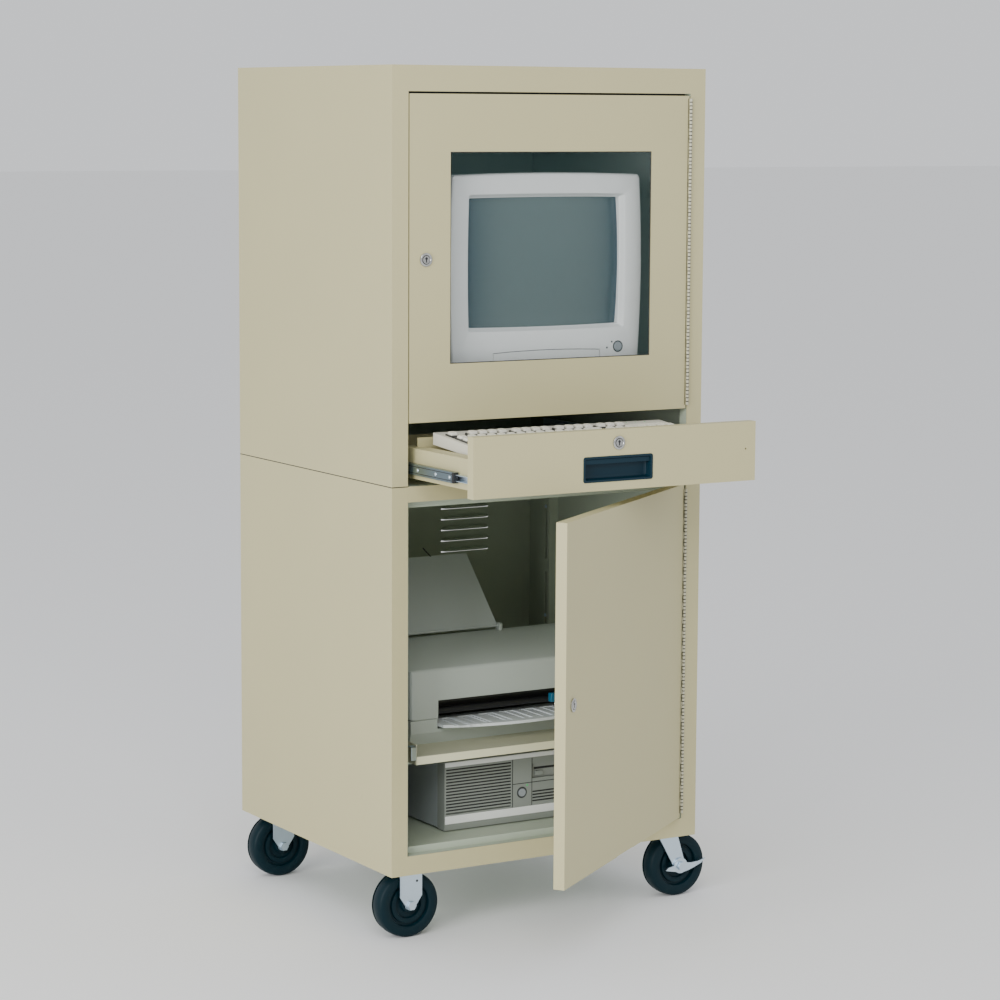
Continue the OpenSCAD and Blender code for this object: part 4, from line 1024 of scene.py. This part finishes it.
# %% [markdown]
# ## Desktop computer
#
# Pale strips run along the top and foot of its face. The drive's slot gets a dark plate, painted
# shade inside the slot, and the panel beside it a lamp.

# %% Trim strips, lamps
flo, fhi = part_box("pc_bezel")


def on_face(edges, y_lo_mm, y_hi_mm):
    """Boxes on the computer's face, from the left, right, foot and top of each."""
    return [((x0, flo.y + y_lo_mm * mm, z0), (x1, flo.y + y_hi_mm * mm, z1))
            for x0, x1, z0, z1 in edges]


strips = [(flo.x + 1 * mm, fhi.x - 1 * mm, fhi.z - 9 * mm, fhi.z - 1 * mm),
          (flo.x + 1 * mm, fhi.x - 1 * mm, flo.z + 11 * mm, flo.z + 25 * mm)]
boxes("pc_strips", on_face(strips, -0.8, 3), M["pale"], "cabinet", 0.8)
seams = [(flo.x + 137.5 * mm, fhi.x - 2 * mm, flo.z + 66.6 * mm, flo.z + 67.8 * mm),
         (flo.x + 137.0 * mm, flo.x + 138.2 * mm, flo.z + 26 * mm, fhi.z - 9 * mm),
         (flo.x + 177.0 * mm, flo.x + 178.0 * mm, flo.z + 26 * mm, fhi.z - 9 * mm)]
boxes("pc_seams", on_face(seams, -0.3, 1), M["dark"], "cabinet")
vents = [(flo.x + 3.2 * mm, flo.x + 134.8 * mm, flo.z + 30.2 * mm, flo.z + 110 * mm),
         (flo.x + 179.4 * mm, fhi.x - 8.4 * mm, flo.z + 32.4 * mm, flo.z + 51 * mm)]
boxes("vent_shade", on_face(vents, 0.9, 1.4), M["dark"], "cabinet")
power = centre("pc_power_button")
# A dark ring round the power button, painted shade of its gap.
bm = lathe(profile((7.5, -0.3), (8.6, -0.9), (10.2, -0.3), (10.2, 1), (7.5, 1)),
           Vector((power.x, flo.y, power.z)), 40)
publish("power_ring", bm, M["shade"], 40, "cabinet")
dlo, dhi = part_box("pc_floppy")
boxes("drive_flap", [((dlo.x + 6.5 * mm, dlo.y + 0.2 * mm, dlo.z + 14.2 * mm),
                      (dhi.x - 6.5 * mm, dlo.y + 0.8 * mm, dlo.z + 17.8 * mm))],
      M["dark"], "cabinet")
bulb = lathe(profile((0.1, -0.6), (1.6, -0.4), (2.0, 0.2), (2.0, 2)), (0, 0, 0), 16, closed=False)
spots = [(Vector((power.x + 11 * mm, flo.y, power.z + 12 * mm)), full),
         (Vector((dhi.x - 14 * mm, dlo.y, dlo.z + 7 * mm)), (0.8, 1, 0.8))]
on_points("pc_lamp", stamp(bulb, "bulb"), spots, M["green"], "cabinet")
print("computer face", round(fhi.x - flo.x, 3), round(fhi.z - flo.z, 3))

# %% [markdown]
# ## Cabinet trim
#
# Half-round hoods stand inside each louvre of the back panels, a gasket lines the window, and
# screws hold the shelf supports.

# %% Louvre hoods, gasket, screws, cable grommets
loops = []
for i in range(13):
    t = i / 12 * 2 - 1
    grow = mm * (1 - t ** 6) ** 0.5
    x = t * 54 * mm
    loops.append([Vector((x, -0.2 * mm, 6.2 * grow + 0.4 * mm)),
                  Vector((x, -5.6 * grow - 0.4 * mm, 3.4 * grow)),
                  Vector((x, -6.4 * grow - 0.4 * mm, -1.0 * grow)),
                  Vector((x, -5.4 * grow - 0.3 * mm, -1.0 * grow)),
                  Vector((x, -4.6 * grow - 0.2 * mm, 2.8 * grow)),
                  Vector((x, -0.2 * mm, 5.2 * grow + 0.2 * mm))])
hood = stamp(loft(loops, cap_start=True, cap_end=True), "hood")
back_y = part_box("lower_back")[0].y
rows = []
for key, low in (("lower", cab(0, 0, 452).z), ("upper", cab(0, 0, 914.4).z)):
    for at, x in (("left", 148.3), ("right", 474.0)):
        rows.append(in_row("louvres_%s_%s" % (key, at), hood, 5,
                           (cab(x, 0, 0).x, back_y, low + 2.8 * mm), (0, 0, 20.6 * mm), M["lined"],
                           "cabinet", keep=True))
bpy.data.objects.remove(hood)

glo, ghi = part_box("window_pane")
pane_mid = centre("window_pane")
gap_w, gap_h = ghi.x - glo.x - 30 * mm, ghi.z - glo.z - 30 * mm


def gasket_loop(grow, y):
    return ring_xz(rounded(gap_w + 2 * grow * mm, gap_h + 2 * grow * mm, 1.2 * mm), pane_mid,
                   corner.y + y * mm)


bm = loft([gasket_loop(-0.2, 0.5), gasket_loop(-1.3, 0.7), gasket_loop(-1.5, 1.6),
           gasket_loop(3, 1.85), gasket_loop(3, 1.65), gasket_loop(-0.2, 1.5)], closed=True)
publish("window_gasket", bm, M["gasket"], 40, "upper_door")

screw = lathe(profile((0.1, 2.2), (2.0, 2.0), (3.4, 1.2), (3.9, 0)),
              (0, 0, 0), 20, "X", closed=False)
screw_x = 1.8 + 18
spots = [(cab(x, y, z), scale) for y in (68, 482) for z in (120, 330, 540)
         for x, scale in ((screw_x, full), (width_mm - screw_x, mirrored))]
on_points("support_screws", stamp(screw, "screw"), spots, M["zinc"], "cabinet")

bm = bmesh.new()
for z in (110, 704.4):
    where = cab(width_mm / 2, 0, z)
    lathe(profile((25.4, -2.0), (28.6, -2.0), (29.4, -0.8), (29.4, -0.1), (25.4, -0.1)),
          (where.x, back_y, where.z), 64, bm=bm)
publish("cable_grommets", bm, M["dark"], 40, "cabinet")

# A dark joint line round the front and sides where the two cabinets meet, and thin dark bands that
# divide the hinge barrels, painted shade in the gaps between the knuckles.
low, high = wall_lo, wall_hi
seam_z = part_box("upper_shell")[0].z
proud, deep, half_h, post = 0.12 * mm, 0.5 * mm, 0.75 * mm, 30.3 * mm
z_lo, z_hi = seam_z - half_h, seam_z + half_h
spans = [((x0, low.y + deep, z_lo), (x1, high.y - deep, z_hi))
         for x0, x1 in ((low.x - proud, low.x + deep), (high.x - deep, high.x + proud))]
spans += [((x0, low.y - proud, z_lo), (x1, low.y + deep, z_hi))
          for x0, x1 in ((low.x - proud, low.x + post), (high.x - post, high.x + proud))]
boxes("cabinet_seam", spans, M["dark"], "cabinet")
groove = lathe(profile((2.3, -0.9), (2.46, -0.9), (2.46, 0.9), (2.3, 0.9)), (0, 0, 0), 20, "Z")
groove = stamp(groove, "groove")
pin = cab(hinge_x, -3.2, 0)
knuckle = 6.35 * mm
for key, count in (("upper", 42), ("lower", 46)):
    leaf_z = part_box(key + "_hinge_leaf")[0].z
    in_row("hinge_grooves_" + key, groove, 2 * count - 1, (pin.x, pin.y, leaf_z + knuckle),
           (0, 0, knuckle), M["dark"], "cabinet", keep=True)
bpy.data.objects.remove(groove)

# Dark strips on the door stops, painted shade seen through the gaps round the closed doors, and a
# painted shadow line down the hinge edge of each door.
stop, stop_x, upper_z, top_z = 20 - 0.35, 29.2, 664.4, 1361
spans = [(cab(stop_x, stop, z_lo), cab(41, stop + 0.3, z_hi))
         for z_lo, z_hi in ((upper_z + 107, top_z - 44.5), (37, upper_z - 30))]
spans.append((cab(stop_x, stop, top_z - 54), cab(width_mm - stop_x, stop + 0.3, top_z - 42.8)))
boxes("stop_foam", spans, M["dark"], "cabinet")
edge = cab(hinge_x - 1.45, 0, 0)
for key in ("upper", "lower"):
    leaf_lo, leaf_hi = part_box(key + "_hinge_leaf")
    bm = slab(bmesh.new(), (edge.x - 2.3 * mm, edge.y - 0.15 * mm, leaf_lo.z),
              (edge.x - 1.1 * mm, edge.y + 0.5 * mm, leaf_hi.z))
    if key == "lower":
        ajar = Matrix.Rotation(math.radians(36), 3, "Z")
        for v in bm.verts:
            v.co = pin + ajar @ (v.co - pin)
    publish("hinge_line_" + key, bm, M["dark"], 40, key + "_door")

# Lock faces: a domed ring, a dark line round the plug, painted shade of its gap, and a keyway,
# painted shade of the keyhole, turned to each lock's own axis.
for joint in frame["record"]["behaviour"]["joints"]:
    if not joint["name"].endswith("_lock_turn"):
        continue
    aim = Vector(joint["axis"])
    spin = Vector((0, 1, 0)).rotation_difference(aim).to_matrix()
    origin = Vector(joint["pos_m"])
    ring = lathe(profile((7.4, -2.4), (8.0, -3.1), (10.3, -3.0), (11.2, -2.3), (11.3, -0.2)),
                 (0, 0, 0), 48, closed=False)
    line = lathe(profile((6.6, -2.6), (7.4, -2.6), (7.4, -1), (6.6, -1)), (0, 0, 0), 48)
    slot = slab(bmesh.new(), (-1.1 * mm, -3.2 * mm, -4.6 * mm), (1.1 * mm, -3.0 * mm, 4.6 * mm))
    slab(slot, (-2.4 * mm, -3.18 * mm, 0.6 * mm), (2.4 * mm, -3.02 * mm, 3.2 * mm))
    for part, label, key, rider in ((ring, "lock_ring", "chrome", joint["parent"]),
                                    (line, "lock_line", "dark", joint["parent"]),
                                    (slot, "keyway", "dark", joint["child"])):
        for v in part.verts:
            v.co = spin @ v.co + origin
        publish(joint["child"] + "_" + label, part, M[key], 40, rider)

# The shelf's front lip, in a lighter copy of its cream paint: painted light.
shelf_lo, shelf_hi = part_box("printer_shelf")
boxes("shelf_lip", [((shelf_lo.x + 2 * mm, shelf_lo.y - 0.15 * mm, shelf_lo.z + 0.3 * mm),
                     (shelf_hi.x - 2 * mm, shelf_lo.y + 0.6 * mm, shelf_lo.z + 13.5 * mm))],
      M["lip"], "cabinet")

# Plated hooks at both ends of the shelf's front, and a wire at the top of the paper support.
spans = []
for x0 in (50.5, width_mm - 60.5):
    spans.append((cab(x0, 22.6, 192), cab(x0 + 10, 24.4, 216)))
    spans.append((cab(x0, 22.6, 214), cab(x0 + 10, 36, 216)))
boxes("shelf_hooks", spans, M["zinc"], "cabinet", 0.6)
path = [cab(268, 326, 478), cab(262, 330, 488), cab(254, 333, 497), cab(249, 334, 503)]
wire = [Vector((math.cos(a), 0.3 * math.sin(a), math.sin(a))) * 1.3 * mm
        for a in (i * math.pi / 4 for i in range(8))]
loops = [[p + around for around in wire] for p in path]
publish("support_wire", loft(loops, cap_start=True, cap_end=True), M["dark"], 60, "paper_support")
print("louvre rows", len(rows), "screws", len(spots))

# %% [markdown]
# ## Studio
#
# A pale floor, a large soft key from the front left, a weaker fill from the right, and an even
# bright surround. The camera looks from the front left with a long lens, a little above the middle.

# %% Floor, light, camera
bm = slab(bmesh.new(), (-60, -60, -0.02), (60, 60, -0.0002))
mesh = bpy.data.meshes.new("studio floor")
bm.to_mesh(mesh)
bm.free()
mesh.materials.append(M["floor"])
floor = bpy.data.objects.new("studio floor", mesh)
scene.collection.objects.link(floor)


def area(name, place, target, width, power):
    data = bpy.data.lights.new(name, "AREA")
    data.shape = "RECTANGLE"
    data.size = width
    data.size_y = width
    data.energy = power
    obj = bpy.data.objects.new(name, data)
    scene.collection.objects.link(obj)
    obj.location = place
    direction = Vector(target) - Vector(place)
    obj.rotation_euler = direction.to_track_quat("-Z", "Y").to_euler()
    return obj


key = area("key", (-2.4, -4.4, 3.8), (0, 0, 0.9), 2.4, 95)
side = area("side", (-4.6, -2.6, 1.7), (0, 0, 0.8), 2.6, 190)
fill = area("fill", (3.4, -3.6, 3.0), (0, 0, 0.9), 2.4, 8)
world = bpy.data.worlds.new("surround")
world.use_nodes = True
sky = world.node_tree.nodes["Background"]
sky.inputs["Color"].default_value = (0.95, 0.97, 1.0, 1.0)
sky.inputs["Strength"].default_value = 0.91
scene.world = world

yaw, pitch, roll = math.radians(31.046), math.radians(7.392), math.radians(0.314)
swap = Matrix(((1, 0, 0), (0, 0, -1), (0, 1, 0)))
turn, nod, lean = (Matrix.Rotation(angle, 3, axis)
                   for angle, axis in ((yaw, "Z"), (pitch, "X"), (roll, "Z")))
axes = lean @ nod @ swap @ turn
eye = bpy.data.cameras.new("camera")
eye.sensor_width = 36
eye.lens = 107.55
camera = bpy.data.objects.new("camera", eye)
scene.collection.objects.link(camera)
facing = Matrix((axes[0], -axes[1], -axes[2])).transposed()
camera.matrix_world = Matrix.Translation(cab(-2385.9, -4311.9, 1284.2)) @ facing.to_4x4()
scene.camera = camera
print("camera", tuple(round(c, 3) for c in camera.location), "lens", eye.lens)
